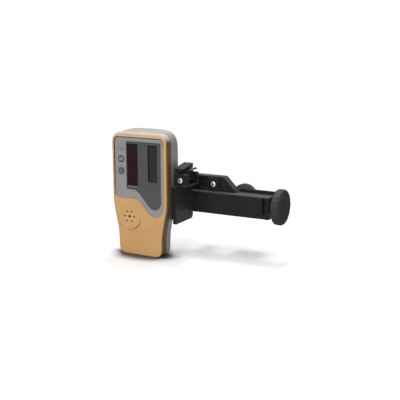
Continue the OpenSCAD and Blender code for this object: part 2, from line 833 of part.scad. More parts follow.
contact_w = 9;
contact_side = 4;
module battery_contacts() {
    color("silver") {
        block([-cell_x - contact_side, cell_y - contact_w / 2, bay_floor],
              [cell_x + contact_side, cell_y + contact_w / 2, bay_floor + contact_t]);
        for (s = [-1, 1])
            block([s * cell_x - contact_side, cell_y - contact_w / 2, bay_top - contact_t],
                  [s * cell_x + contact_side, cell_y + contact_w / 2, bay_top]);
    }
}

module battery_cover() {
    color([0.45, 0.46, 0.44]) difference() {
        union() {
            along_y(cover_y, grip_y)
                polygon(rounded([-cover_x, hinge_z], [cover_x, cover_top], cover_r, corner_steps));
            bar_x(hinge_y, hinge_z, knuckle_r, -knuckle_x, knuckle_x);
        }
        block([-cover_x - over, cover_y - over, hinge_z - over],
              [-knuckle_x, grip_y + over, hinge_z + knuckle_r + pass_gap]);
        block([knuckle_x, cover_y - over, hinge_z - over],
              [cover_x + over, grip_y + over, hinge_z + knuckle_r + pass_gap]);
        bar_x(hinge_y, hinge_z, hinge_pin_r + run_gap, -cover_x, cover_x);
        translate([0, grip_y + grip_groove_r - grip_groove_d, cover_top - grip_groove_set])
            rotate([0, 90, 0]) cylinder(r = grip_groove_r, h = bay_x, center = true);
    }
}

module cover_hinge_pin() {
    color("silver") bar_x(hinge_y, hinge_z, hinge_pin_r, -cover_x + pass_gap, cover_x - pass_gap);
}

// Bracket beside the receiver, with a foot that carries the arm
plate_x = case_w / 2 + bracket_gap;
plate_y = front_y + plate_set;
arm_y = front_y + arm_set;
arm_back = arm_y + arm_d;
arm_top = arm_low + arm_h;
foot_t = 4.7;
plate_cut = 3;
housing_set = 13.5;
housing_y = front_y + housing_set;
housing_back = housing_y + 2 * cheek_t + lever_d;
housing_right = plate_x + housing_w;
housing_wall = 2.4;
housing_floor = 1.5;
housing_lip = 0.8;
housing_r = 3;
pivot_x = plate_x + housing_w / 2 - bracket_gap / 2;
web_left = 8;
web_gap = 0.4;
web_t = 8;
web_drop = 2.5;
rail_play = 0.2;
lanyard_r = 1.6;
lanyard_set = 31;
lanyard_z = 46;
vent_w = 6;
vent_h = 1.6;
bracket_screw_r = 1.6;
bracket_head_r = 2.8;
bracket_head_t = 1.8;
bracket_screw_l = 14;
bracket_screw_set = 6;
bracket_screw_places = [for (s = [-1, 1])
    [(arm_left + plate_x) / 2, arm_low + arm_h / 2 + s * bracket_screw_set]];

// Nose of the lever, which reaches through a notch in the bracket and holds the receiver's side
nose_w = 8;
nose_h = 4;
nose_gap = 0.3;
nose_y = housing_y + cheek_t + lever_d / 2;
nose_x = case_w / 2 + nose_gap;

module receiver_bracket() {
    color([0.13, 0.13, 0.14]) difference() {
        union() {
            along_x(plate_x, plate_x + plate_t) polygon([
                [plate_y, plate_low], [arm_y - plate_cut, plate_low], [arm_y, plate_low + plate_cut],
                [arm_y, plate_top], [plate_y, plate_top]]);
            block([arm_left, arm_y - foot_t, arm_low], [plate_x + plate_t, arm_y, arm_top]);
            block([plate_x, housing_y - housing_lip, plate_top],
                  [housing_right, housing_back, plate_top + housing_floor]);
            for (y = [housing_y, housing_back - cheek_t])
                along_y(y, y + cheek_t) polygon(rounded([plate_x, plate_top], [housing_right, housing_top],
                                                        housing_r / 2, corner_steps));
            block([plate_x, housing_y, plate_top - web_drop],
                  [plate_x + housing_wall, housing_back, housing_top]);
            block([web_left, back_y + web_gap, rail_low - web_drop],
                  [plate_x + housing_wall, back_y + web_gap + web_t, housing_top]);
        }
        block([rail_x - rail_neck_w / 2 - rail_play, back_y, rail_low],
              [rail_x + rail_neck_w / 2 + rail_play, back_y + rail_neck_t, housing_top + over]);
        block([rail_x - rail_w / 2 - rail_play, back_y + rail_neck_t - rail_play, rail_low],
              [rail_x + rail_w / 2 + rail_play, back_y + rail_neck_t + rail_t + rail_play,
               housing_top + over]);
        bar_y(pivot_x, pivot_z, pivot_r + run_gap, housing_y - over, housing_back + over);
        block([case_w / 2 - pass_gap, nose_y - nose_w / 2 - pass_gap, pivot_z - nose_h / 2 - pass_gap],
              [plate_x + housing_wall + over, nose_y + nose_w / 2 + pass_gap, housing_top + over]);
        block([pivot_x - vent_w / 2, housing_y - over, plate_top + housing_floor],
              [pivot_x + vent_w / 2, housing_y + cheek_t + over, plate_top + housing_floor + vent_h]);
        bar_x(plate_y + lanyard_set, lanyard_z, lanyard_r, plate_x - over, plate_x + plate_t + over);
        for (p = bracket_screw_places)
            bar_y(p.x, p.y, bracket_screw_r + fit_gap, arm_y - foot_t - over, arm_y + over);
    }
}

module bracket_screws() {
    color("silver") for (p = bracket_screw_places) {
        bar_y(p.x, p.y, bracket_head_r, arm_y - foot_t - bracket_head_t, arm_y - foot_t);
        bar_y(p.x, p.y, bracket_screw_r, arm_y - foot_t, arm_y - foot_t + bracket_screw_l);
    }
}

// Lever that locks the receiver on the bracket
lever_side_gap = 0.3;
lever_front = housing_y + cheek_t + lever_side_gap;
lever_back = housing_y + cheek_t + lever_d - lever_side_gap;
lever_neck_gap = 1.6;
lever_low = housing_top + lever_neck_gap;
lever_left = plate_x;
lever_right = lever_left + grip_l;
rib_r = 0.8;
rib_base = grip_top - rib_r;
lever_tuck = 2;
lip_rise = 1.2;
lip_slope = 3.6;
tip_l = 5.6;
tip_h = 2.4;
tip_t = 1.8;
lever_l = lever_back - housing_y;
rib_l = norm([lever_l, grip_fall]);
module lock_lever() {
    color([0.14, 0.14, 0.15]) difference() {
        union() {
            bar_y(pivot_x, pivot_z, hub_r, lever_front, lever_back);
            along_y(lever_front, lever_back) polygon([
                [pivot_x - hub_r, lever_low], [pivot_x - hub_r, pivot_z], [pivot_x + hub_r, pivot_z],
                [lever_right, lever_low], [lever_right, lever_low + lever_tuck],
                [lever_left, lever_low + lever_tuck]]);
            intersection() {
                along_x(lever_left, lever_right) polygon([
                    [housing_y, lever_low], [lever_back, lever_low],
                    [lever_back, rib_base], [housing_y, rib_base - grip_fall]]);
                along_y(housing_y, lever_back) polygon([
                    [lever_left, lever_low], [pivot_x, lever_low + lip_rise],
                    [lever_right, lever_low + lip_slope], [lever_right, grip_top], [lever_left, grip_top]]);
            }
            block([nose_x, nose_y - nose_w / 2, pivot_z - nose_h / 2],
                  [pivot_x, nose_y + nose_w / 2, pivot_z + nose_h / 2]);
            for (i = [0 : grip_ribs - 1])
                translate([mix(lever_left + rib_r, lever_right - rib_r, i / (grip_ribs - 1)), housing_y,
                           rib_base - grip_fall])
                    rotate([atan(grip_fall / lever_l) - 90, 0, 0]) cylinder(r = rib_r, h = rib_l);
            along_y(lever_front, lever_back) polygon([
                [lever_right - lever_tuck, lever_low], [lever_right + tip_l, lever_low + tip_h],
                [lever_right + tip_l - tip_t, lever_low + tip_h + tip_t],
                [lever_right - lever_tuck, lever_low + lever_tuck]]);
        }
        bar_y(pivot_x, pivot_z, pivot_r + run_gap, lever_front - over, lever_back + over);
    }
}

pivot_head_r = 3;
pivot_head_t = 1.7;
module lever_screw() {
    color([0.85, 0.85, 0.86]) difference() {
        union() {
            bar_y(pivot_x, pivot_z, pivot_head_r, housing_y - pivot_head_t, housing_y);
            bar_y(pivot_x, pivot_z, pivot_r, housing_y, housing_back - wall);
        }
        cross_slot(pivot_x, pivot_z, pivot_head_r, housing_y - pivot_head_t);
    }
}

// Arm: a box beam with a slot behind for the moving jaw
arm_edge = 0.8;
screw_set = 10.3;
screw_y = arm_y + screw_set;
nut_l = 14;
nut_s = 12;
tongue_h = 9;
rest_wall = 3.5;
rest_gap = 4.2;
rest_x = jaw_x - nut_l / 2 - jaw_close - rest_wall - rest_gap;
root_x = plate_x + plate_t + wall;
bearing_l = 9;
bearing_x = arm_right - bearing_l;
slot_left = jaw_x - nut_l / 2 - jaw_close - pass_gap;
slot_right = jaw_x + nut_l / 2 + jaw_open + pass_gap;
arm_profile = [
    [arm_y + arm_edge, arm_low], [arm_back - arm_edge, arm_low], [arm_back, arm_low + arm_edge],
    [arm_back, arm_top], [arm_y + arm_edge, arm_top],
    [arm_y, arm_top - arm_edge], [arm_y, arm_low + arm_edge]];
lip_t = 2.2;
jaw_run = jaw_top - arm_top;
snap_set = 7.7;
snap_w = 4;
snap_foot = 4.5;
snap_head = 1.6;

module clamp_arm() {
    color([0.12, 0.12, 0.13]) difference() {
        union() {
            along_x(arm_left, arm_right) polygon(arm_profile);
            block([slope_x + jaw_run + pass_gap, arm_back - lip_t, arm_top - arm_wall],
                  [arm_right, arm_back, arm_top + lip_h]);
        }
        block([root_x, arm_y + arm_wall, arm_low + arm_wall],
              [rest_x, arm_back - arm_wall, arm_top - arm_wall]);
        block([rest_x + rest_wall, arm_y + arm_wall, arm_low + arm_wall],
              [arm_right + over, arm_back - arm_wall, arm_top - arm_wall]);
        block([slot_left, arm_back - arm_wall - over, screw_z - tongue_h / 2 - pass_gap],
              [slot_right, arm_back + over, screw_z + tongue_h / 2 + pass_gap]);
        block([arm_right - snap_set, arm_y - over, arm_low + snap_foot],
              [arm_right - snap_set + snap_w, arm_y + arm_wall + over, arm_top - snap_head]);
        bar_x(screw_y, screw_z, screw_r + run_gap, rest_x - over, rest_x + rest_wall + over);
        for (p = bracket_screw_places)
            bar_y(p.x, p.y, bracket_screw_r + fit_gap, arm_y - over,
                  arm_y - foot_t + bracket_screw_l + over);
    }
}

// Fixed jaw: a fence on top of the arm and a leg behind it
fence_set = 8.3;
fence_y = arm_y + fence_set;
fence_end = 9;
fence_left = arm_left + fence_end;
jaw_w = 13;
jaw_left = jaw_face - jaw_w;
jaw_wall = 3;
jaw_back = arm_back + jaw_reach;
jaw_screw_x = 66.4;
jaw_screw_rise = 8.5;
jaw_screw_z = arm_top + jaw_screw_rise;
jaw_screw_r = 1.5;
jaw_head_r = 3.1;
jaw_head_t = 1.6;
jaw_plate_t = 1.6;
jaw_plate_left = 58.5;
jaw_plate_w = 14.5;
jaw_plate_h = 15.5;
jaw_plate_foot = 0.4;
jaw_boss_r = 5.6;
jaw_boss_t = 0.8;
groove_w = 1.2;
groove_d = 1;
notch_w = 12;

module fixed_jaw() {
    color([0.13, 0.13, 0.14]) difference() {
        union() {
            along_y(fence_y, arm_back) polygon([
                [fence_left, arm_top], [slope_x + jaw_run, arm_top],
                [slope_x, jaw_top], [fence_left, jaw_top]]);
            block([jaw_left, arm_back, arm_low], [jaw_face, jaw_back, leg_top]);
        }
        block([jaw_left + jaw_wall, arm_back + jaw_wall, arm_low + jaw_wall],
              [jaw_face - jaw_wall, jaw_back + over, leg_top - jaw_wall]);
        block([jaw_plate_left - notch_w, fence_y - over, arm_top + jaw_wall],
              [jaw_plate_left - groove_w, fence_y + jaw_wall, jaw_top - jaw_wall]);
        block([jaw_plate_left + jaw_plate_w, fence_y - over, arm_top - over],
              [jaw_plate_left + jaw_plate_w + groove_w, fence_y + groove_d, jaw_top - jaw_wall]);
        block([jaw_plate_left + jaw_plate_w + jaw_wall, fence_y + jaw_wall, arm_top - over],
              [slope_x, arm_back - jaw_wall, jaw_top - jaw_wall]);
        bar_y(jaw_screw_x, jaw_screw_z, jaw_screw_r + fit_gap, fence_y - over, arm_back - wall);
    }
}

// Rubber pad with upright grooves
pad_edge = 2;
pad_set = 5.2;
pad_grooves = 4;
pad_groove_w = 1.6;
pad_groove_d_share = 0.5;
module jaw_pad(from, side, top) {
    low = [from, arm_back + pad_set, arm_low + pad_edge];
    high = [from + pad_t, jaw_back - pad_edge, top - pad_edge];
    pitch = (high.y - low.y) / pad_grooves;
    cut = pad_t * pad_groove_d_share;
    x = side > 0 ? high.x - cut : low.x - over;
    difference() {
        block(low, high);
        for (i = [0 : pad_grooves - 1])
            translate([x, low.y + (pitch - pad_groove_w) / 2 + i * pitch, low.z - over])
                cube([cut + over, pad_groove_w, high.z - low.z + 2 * over]);
    }
}

module fixed_pad() {
    color([0.2, 0.2, 0.2]) jaw_pad(jaw_face, 1, leg_top);
}

// Plate on the fence, held by the front screw
boss_y = fence_y - jaw_plate_t - jaw_boss_t;
module jaw_plate() {
    color([0.15, 0.15, 0.16]) difference() {
        union() {
            block([jaw_plate_left, fence_y - jaw_plate_t, arm_top + jaw_plate_foot],
                  [jaw_plate_left + jaw_plate_w, fence_y, arm_top + jaw_plate_foot + jaw_plate_h]);
            bar_y(jaw_screw_x, jaw_screw_z, jaw_boss_r, boss_y, fence_y - jaw_plate_t / 2);
        }
        bar_y(jaw_screw_x, jaw_screw_z, jaw_screw_r + fit_gap, boss_y - over, fence_y + over);
    }
}

module jaw_screw() {
    color([0.85, 0.85, 0.86]) difference() {
        union() {
            bar_y(jaw_screw_x, jaw_screw_z, jaw_head_r, boss_y - jaw_head_t, boss_y);
            bar_y(jaw_screw_x, jaw_screw_z, jaw_screw_r, boss_y, arm_back - 2 * wall);
        }
        cross_slot(jaw_screw_x, jaw_screw_z, jaw_head_r, boss_y - jaw_head_t);
    }
}

// Moving jaw: a block behind the arm with a round-topped plate, and a tongue through the arm's slot
hump_set = 2.5;
hump_x = jaw_x - hump_set;
hump_rise = 19.3;
hump_z = arm_low + hump_rise;
hump_t = 4.5;
block_drop = 2.8;
block_top = arm_top - block_drop;
block_r = 2;
jaw_rib_t = 2.4;
nut_y = screw_y + nut_s / 2;
module jaw_outline(d) {
    polygon(rounded([jaw_x - jaw_r + d, arm_low + d], [jaw_x + jaw_r - d, block_top - d],
                    block_r, corner_steps));
}

module moving_jaw() {
    front = arm_back + pass_gap;
    color([0.14, 0.14, 0.15]) {
        difference() {
            union() {
                along_y(front, jaw_back) jaw_outline(0);
                bar_y(hump_x, hump_z, hump_r, front, front + hump_t);
            }
            along_y(front + hump_t + jaw_wall, jaw_back + over) difference() {
                jaw_outline(jaw_wall);
                translate([jaw_x - jaw_r, screw_z - jaw_rib_t / 2]) square([2 * jaw_r, jaw_rib_t]);
                translate([jaw_x - jaw_rib_t / 2, arm_low]) square([jaw_rib_t, 2 * jaw_r + arm_h]);
            }
        }
        block([jaw_x - nut_l / 2, nut_y, screw_z - tongue_h / 2],
              [jaw_x + nut_l / 2, front, screw_z + tongue_h / 2]);
    }
}

module moving_pad() {
    color([0.2, 0.2, 0.2]) jaw_pad(jaw_x - jaw_r - pad_t, -1, block_top - pad_edge);
}

module screw_nut() {
    color([0.78, 0.64, 0.3]) difference() {
        block([jaw_x - nut_l / 2, screw_y - nut_s / 2, screw_z - nut_s / 2],
              [jaw_x + nut_l / 2, nut_y, screw_z + nut_s / 2]);
        bar_x(screw_y, screw_z, screw_r + run_gap, jaw_x - nut_l, jaw_x + nut_l);
    }
}

// Clamp screw, held by a bearing in the arm's end
knob_x = arm_right + knob_gap;
knob_wall = 3;
screw_end = knob_x + knob_t - dish_d - knob_wall;
collar_r = 5.5;
collar_t = 2.2;
module clamp_screw() {
    color("silver") bar_x(screw_y, screw_z, screw_r, rest_x, screw_end);
}

module screw_collar() {
    color([0.78, 0.64, 0.3]) difference() {
        bar_x(screw_y, screw_z, collar_r, bearing_x - pass_gap - collar_t, bearing_x - pass_gap);
        bar_x(screw_y, screw_z, screw_r, bearing_x - pass_gap - collar_t - over, bearing_x);
    }
}

bearing_gap = 0.05;
module end_bearing() {
    color([0.1, 0.1, 0.1]) difference() {
        block([bearing_x, arm_y + arm_wall + bearing_gap, arm_low + arm_wall + bearing_gap],
              [arm_right, arm_back - arm_wall - bearing_gap, arm_top - arm_wall - bearing_gap]);
        bar_x(screw_y, screw_z, screw_r + run_gap, bearing_x - over, arm_right + over);
        block([arm_right - snap_set, arm_y, arm_low],
              [arm_right - snap_set + snap_w, arm_y + 2 * arm_wall, arm_top]);
    }
}

// Round knob with a dished face and a neck to the arm
neck_r = 8;
neck_gap = 0.3;
knob_edge = 2.6;
knob_face_r = knob_r - rim_w;
dish_edge_share = 0.8;
dish_edge = dish_d * dish_edge_share;
knob_back = knob_gap - neck_gap;
knob_face = knob_back + knob_t;
knob_floor = screw_end - arm_right - neck_gap;
flute_r = 2.2;
flute_d = 0.3;
knob_profile = concat(
    [[screw_r, 0], [neck_r, 0], [neck_r, knob_back]],
    arc([knob_r - knob_edge, knob_back + knob_edge], knob_edge, -90, 0, corner_steps),
    arc([knob_r - knob_edge, knob_face - knob_edge], knob_edge, 0, 90, corner_steps),
    [[knob_face_r, knob_face]],
    arc([knob_face_r - 2 * dish_edge, knob_face - dish_d + dish_edge], dish_edge, 0, -90, corner_steps),
    [[0, knob_face - dish_d], [0, knob_floor], [screw_r, knob_floor]]);
module clamp_knob() {
    color([0.16, 0.16, 0.17])
        translate([arm_right + neck_gap, screw_y, screw_z]) rotate([0, 90, 0]) difference() {
            rotate_extrude($fn = 96) polygon(knob_profile);
            for (i = [0 : flutes - 1])
                rotate(360 * i / flutes) translate([knob_r + flute_r - flute_d, 0, 0])
                    cylinder(r = flute_r, h = knob_gap + knob_t + over);
        }
}

front_shell();
rear_shell();
case_seal();
case_screws();
front_panel();
display_panel();
sensor_window();
lcd_window();
lcd_module();
power_button();
tone_button();
precision_button();
keypad_mat();
main_board();
board_screws();
sensor_board();
photodiodes();
sounder();
rear_window();
rear_lcd();
battery_cells();
battery_springs();
battery_contacts();
battery_cover();
cover_hinge_pin();
receiver_bracket();
bracket_screws();
lock_lever();
lever_screw();
clamp_arm();
fixed_jaw();
fixed_pad();
jaw_plate();
jaw_screw();
moving_jaw();
moving_pad();
screw_nut();
clamp_screw();
screw_collar();
end_bearing();
clamp_knob();
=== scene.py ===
"""Laser receiver on its rod holder: the finish of every piece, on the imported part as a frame."""

import math

import bmesh
import bpy
import numpy as np
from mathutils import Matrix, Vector


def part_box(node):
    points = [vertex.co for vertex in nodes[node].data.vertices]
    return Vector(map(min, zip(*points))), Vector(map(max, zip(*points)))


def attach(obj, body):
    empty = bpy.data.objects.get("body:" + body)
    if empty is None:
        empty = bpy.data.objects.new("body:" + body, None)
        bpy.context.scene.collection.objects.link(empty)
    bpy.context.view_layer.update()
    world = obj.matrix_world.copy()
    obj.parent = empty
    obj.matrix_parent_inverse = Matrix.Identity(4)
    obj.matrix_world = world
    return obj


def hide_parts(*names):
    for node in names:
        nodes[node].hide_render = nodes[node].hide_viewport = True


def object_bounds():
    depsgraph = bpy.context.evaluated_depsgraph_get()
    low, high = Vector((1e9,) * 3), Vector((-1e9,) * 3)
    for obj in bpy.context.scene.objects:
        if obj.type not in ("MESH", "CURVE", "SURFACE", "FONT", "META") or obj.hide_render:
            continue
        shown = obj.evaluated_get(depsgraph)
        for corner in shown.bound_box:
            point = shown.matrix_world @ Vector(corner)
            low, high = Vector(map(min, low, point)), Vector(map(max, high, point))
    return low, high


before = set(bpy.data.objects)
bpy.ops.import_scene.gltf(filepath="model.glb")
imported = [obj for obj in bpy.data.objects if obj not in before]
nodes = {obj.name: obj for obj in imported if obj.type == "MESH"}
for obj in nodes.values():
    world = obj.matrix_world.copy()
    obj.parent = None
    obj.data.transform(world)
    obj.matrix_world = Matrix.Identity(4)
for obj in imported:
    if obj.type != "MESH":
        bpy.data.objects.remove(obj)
cad_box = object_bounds()
MM = 0.001

# Photographer's table: a wide sheet of white paper under soft boxes, seen by one fixed camera.
# The paper takes the receiver's shadow near the object and runs out to plain white.
VIEW_AZIMUTH = math.radians(28.0)
VIEW_ELEVATION = math.radians(12.1)
VIEW_DISTANCE = 821.7 * MM
VIEW_TARGET = Vector((78.3, -11.0, 74.1)) * MM
LENS_MM = 67.5
FILM_MM = 36.0
view_back = Vector((
    math.sin(VIEW_AZIMUTH) * math.cos(VIEW_ELEVATION),
    -math.cos(VIEW_AZIMUTH) * math.cos(VIEW_ELEVATION),
    math.sin(VIEW_ELEVATION),
))
scene = bpy.context.scene
scene.view_settings.view_transform = "Standard"
camera = bpy.data.objects.new("camera", bpy.data.cameras.new("camera"))
camera.data.lens = LENS_MM
camera.data.sensor_width = FILM_MM
camera.location = VIEW_TARGET + view_back * VIEW_DISTANCE
camera.rotation_euler = (-view_back).to_track_quat("-Z", "Y").to_euler()
scene.collection.objects.link(camera)
scene.camera = camera


class NodeSheet:
    """A node tree with the short calls that fill it."""

    def __init__(self, tree):
        self.tree = tree
        self.shader = tree.nodes.get("Principled BSDF")

    def node(self, kind, **values):
        """A new node; each value goes to the input of that name, or else to the setting."""
        made = self.tree.nodes.new(kind)
        for key, value in values.items():
            if key in made.inputs:
                made.inputs[key].default_value = value
            else:
                setattr(made, key, value)
        return made

    def join(self, source, out, target, into):
        """A link from an output of one node to an input of another."""
        self.tree.links.new(source.outputs[out], target.inputs[into])

    def paint(self, into, source, out=0):
        """A link from a node's output to the shader."""
        self.join(source, out, self.shader, into)

    def noise(self, place, scale, detail, roughness=0.5):
        """A cloudy pattern in the object's own space."""
        made = self.node("ShaderNodeTexNoise", Scale=scale, Detail=detail, Roughness=roughness)
        self.join(place, "Object", made, "Vector")
        return made

    def ramp(self, source, out=0, start=0.0, end=1.0, low=0.0, high=1.0, soft=False):
        """A value that runs from low to high, evenly or softly, as an output runs start to end."""
        made = self.node("ShaderNodeMapRange")
        made.interpolation_type = "SMOOTHSTEP" if soft else "LINEAR"
        limits = {"From Min": start, "From Max": end, "To Min": low, "To Max": high}
        for into, value in limits.items():
            made.inputs[into].default_value = value
        self.join(source, out, made, "Value")
        return made

    def calc(self, operation, *terms):
        """A calculation on terms, each a number or a pair of a node and its output."""
        made = self.node("ShaderNodeMath", operation=operation)
        for into, term in enumerate(terms):
            if isinstance(term, tuple):
                self.join(*term, made, into)
            else:
                made.inputs[into].default_value = term
        return made

    def mix(self, first, second, share, out=0):
        """Two colours, each a value or another mix, blended by a node's output."""
        made = self.node("ShaderNodeMix", data_type="RGBA")
        for into, colour in (("A", first), ("B", second)):
            if isinstance(colour, tuple):
                made.inputs[into].default_value = colour
            else:
                self.join(colour, "Result", made, into)
        self.join(share, out, made, "Factor")
        return made

    def bump(self, pattern, strength, depth):
        """A pattern as fine relief on the shader."""
        made = self.node("ShaderNodeBump", Strength=strength, Distance=depth)
        self.join(pattern, 0, made, "Height")
        self.paint("Normal", made)


def new_material(name):
    """An empty node material and the sheet that its nodes go on."""
    material = bpy.data.materials.new(name)
    material.use_nodes = True
    return material, NodeSheet(material.node_tree)


def grid_mesh(name, points, wrap=False):
    """A mesh object from rows of points, four corners to a face; wrapped rows close up."""
    rows, columns = points.shape[:2]
    index = np.arange(rows * columns).reshape(rows, columns)
    if wrap:
        index = np.concatenate([index, index[:, :1]], 1)
    corners = [index[:-1, :-1], index[1:, :-1], index[1:, 1:], index[:-1, 1:]]
    faces = np.stack(corners, -1).reshape(-1, 4)
    mesh = bpy.data.meshes.new(name)
    mesh.from_pydata(points.reshape(-1, 3).tolist(), [], faces.tolist())
    mesh.polygons.foreach_set("use_smooth", np.ones(len(mesh.polygons), bool))
    made = bpy.data.objects.new(name, mesh)
    scene.collection.objects.link(made)
    return made


PAPER_SIDE = 6.0
PAPER_STEPS = 7
PAPER_ROUGH = 0.9
PAPER_WHITE = (0.9, 0.9, 0.9, 1)
PAPER_BOUNCE = (0.45, 0.45, 0.45, 1)
PAPER_LIFT = 0.15
PAPER_CENTRE = (0.04, 0.03, 0.0)
SHADOW_FADE, SHADOW_REACH = 0.189, 0.42
CONTACT_SHADE = (0.08, 0.07, 0.075, 1)
CONTACT_REACH = 0.036
CONTACT_FROM, CONTACT_TO = 0.6, 0.93
WHITE = (1, 1, 1, 1)
span = np.linspace(-PAPER_SIDE / 2, PAPER_SIDE / 2, PAPER_STEPS)
paper_x, paper_y = np.meshgrid(span, span, indexing="ij")
paper = grid_mesh("paper", np.stack([paper_x, paper_y, np.zeros_like(paper_x)], -1))
paper_finish, sheet = new_material("white_paper")
# The paper is white where it is seen, also through or in a shiny face; what it throws back on the
# object is held down. A painted contact shadow darkens it where something is close above it.
ray = sheet.node("ShaderNodeLightPath")
seen = sheet.calc("MAXIMUM", (ray, "Is Camera Ray"), (ray, "Is Glossy Ray"))
seen = sheet.calc("MAXIMUM", (seen, 0), (ray, "Is Transmission Ray"))
near = sheet.node("ShaderNodeAmbientOcclusion", Distance=CONTACT_REACH)
clear = sheet.ramp(near, "AO", CONTACT_FROM, CONTACT_TO, soft=True)
shaded = sheet.mix(CONTACT_SHADE, PAPER_WHITE, clear)
sheet.paint("Base Color", sheet.mix(PAPER_BOUNCE, shaded, seen), "Result")
sheet.shader.inputs["Roughness"].default_value = PAPER_ROUGH
lit = sheet.calc("MULTIPLY", (seen, 0), (clear, 0))
sheet.shader.inputs["Emission Color"].default_value = WHITE
sheet.paint("Emission Strength", sheet.calc("MULTIPLY", (lit, 0), PAPER_LIFT))
# Further out it is seen as plain white, whatever light falls on it.
place = sheet.node("ShaderNodeTexCoord")
away = sheet.node("ShaderNodeVectorMath", operation="DISTANCE")
away.inputs[1].default_value = PAPER_CENTRE
sheet.join(place, "Object", away, 0)
fade = sheet.ramp(away, "Value", SHADOW_FADE, SHADOW_REACH, soft=True)
blank = sheet.calc("MULTIPLY", (seen, 0), (fade, 0))
glow = sheet.node("ShaderNodeEmission", Strength=1.0)
surface = sheet.node("ShaderNodeMixShader")
for into, source in enumerate((blank, sheet.shader, glow)):
    sheet.join(source, 0, surface, into)
sheet.join(surface, 0, sheet.tree.nodes["Material Output"], "Surface")
paper.data.materials.append(paper_finish)

# Room light: dim all round, and plain white where it is seen. Shiny faces mirror a white backdrop
# that stands behind the table, high on the left.
SKY_LEVEL = 0.1
SKY_TINT = (0.96, 0.98, 1, 1)
BACKDROP_WAY = (-0.45, 0.5, 0.74)
BACKDROP_FROM, BACKDROP_TO = 0.3, 0.8
world = bpy.data.worlds.new("studio")
scene.world = world
world.use_nodes = True
sky = NodeSheet(world.node_tree)
room = sky.tree.nodes["Background"]
room.inputs["Color"].default_value = SKY_TINT
room.inputs["Strength"].default_value = SKY_LEVEL
white = sky.node("ShaderNodeBackground", Color=WHITE)
ray = sky.node("ShaderNodeLightPath")
heading = sky.node("ShaderNodeTexCoord")
towards = sky.node("ShaderNodeVectorMath", operation="DOT_PRODUCT")
towards.inputs[1].default_value = BACKDROP_WAY
sky.join(heading, "Generated", towards, 0)
behind = sky.ramp(towards, "Value", BACKDROP_FROM, BACKDROP_TO)
mirrored = sky.calc("MAXIMUM", (ray, "Is Glossy Ray"), (ray, "Is Transmission Ray"))
backlit = sky.calc("MULTIPLY", (mirrored, 0), (behind, 0))
share = sky.calc("MAXIMUM", (ray, "Is Camera Ray"), (backlit, 0))
choice = sky.node("ShaderNodeMixShader")
for into, source in enumerate((share, room, white)):
    sky.join(source, 0, choice, into)
sky.join(choice, 0, sky.tree.nodes["World Output"], "Surface")

# Soft boxes: three square lamps turned to the object. The one in front is the key, a small one
# behind lights the tops, and a wide one overhead softens the shadows.
LAMP_AIM = Vector((0.05, 0.01, 0.07))
for name, spot, side, power in (
    ("key_box", (0.25, -1.14, 0.62), 0.9, 11.0),
    ("top_box", (-0.03, 0.44, 1.05), 0.2, 3.4),
    ("roof_box", (0.0, 0.05, 1.2), 1.6, 14.0),
):
    lamp = bpy.data.lights.new(name, "AREA")
    lamp.size = side
    lamp.energy = power
    soft_box = bpy.data.objects.new(name, lamp)
    soft_box.location = spot
    soft_box.rotation_euler = (LAMP_AIM - Vector(spot)).to_track_quat("-Z", "Y").to_euler()
    scene.collection.objects.link(soft_box)

# Front shell: a tan moulding of tough plastic with a rounded front edge, an S-shaped recess for
# the panel and a leaning disc with sound holes. It is injection moulded, with a fine satin grain.
TAN = (0.61, 0.350, 0.138, 1)
TAN_WORN = (0.68, 0.41, 0.175, 1)
TAN_SIDES_PAINTED_SHADE = (0.36, 0.2, 0.072, 1)
TAN_RIGHT_PAINTED_SHADE = (0.13, 0.066, 0.014, 1)
TAN_TOP_PAINTED_HIGHLIGHT = (0.60, 0.45, 0.325, 1)
TOP_HIGHLIGHT_FROM, TOP_HIGHLIGHT_FULL = 133.0 * MM, 139.5 * MM
CASE_CREASE = 32.0
DULLER, SHINIER = 0.08, 0.06
GRAIN_STRENGTH = 0.5
WELD_GAP = 0.002 * MM
FLAT_WITHIN = math.radians(0.4)
EDGE_STEPS = 2


def moulded_plastic(
    name, colour, worn, grain=0.4 * MM, gloss=0.45, depth=0.03 * MM, specular=0.5, films=(),
):
    """A moulded plastic: fine spark grain as bump, cloudy colour, and patches rubbed shinier.

    A film is a colour that lies on it by the way its faces look ("Normal") or by place ("Object"):
    the axis, the values where it starts and is full, and whether it holds the opposite way too.
    In this scene the films are painted light and shade: paler tops as painted highlight, and sides
    made darker or lighter.
    """
    material, sheet = new_material(name)
    place = sheet.node("ShaderNodeTexCoord")
    cloud = sheet.noise(place, scale=45.0, detail=4.0, roughness=0.6)
    tone = sheet.mix(colour, worn, sheet.ramp(cloud, start=0.35, end=0.85))
    for tint, reading, way, start, full, both_ways in films:
        split = sheet.node("ShaderNodeSeparateXYZ")
        sheet.join(place, reading, split, 0)
        facing = sheet.calc("ABSOLUTE" if both_ways else "MAXIMUM", (split, way), 0.0)
        tone = sheet.mix(tone, tint, sheet.ramp(facing, start=start, end=full, soft=True))
    sheet.paint("Base Color", tone, "Result")
    rub = sheet.noise(place, scale=160.0, detail=5.0, roughness=0.7)
    shine = sheet.ramp(rub, start=0.3, end=0.7, low=gloss + DULLER, high=gloss - SHINIER)
    sheet.paint("Roughness", shine)
    spark = sheet.noise(place, scale=1 / grain, detail=2.0, roughness=0.55)
    sheet.bump(spark, GRAIN_STRENGTH, depth)
    sheet.shader.inputs["Specular IOR Level"].default_value = specular
    return material


def mark_creases(work, degrees):
    """Sharp shading on the edges that bend more than the given angle."""
    for line in work.edges:
        line.smooth = len(line.link_faces) == 2 and line.calc_face_angle() < math.radians(degrees)


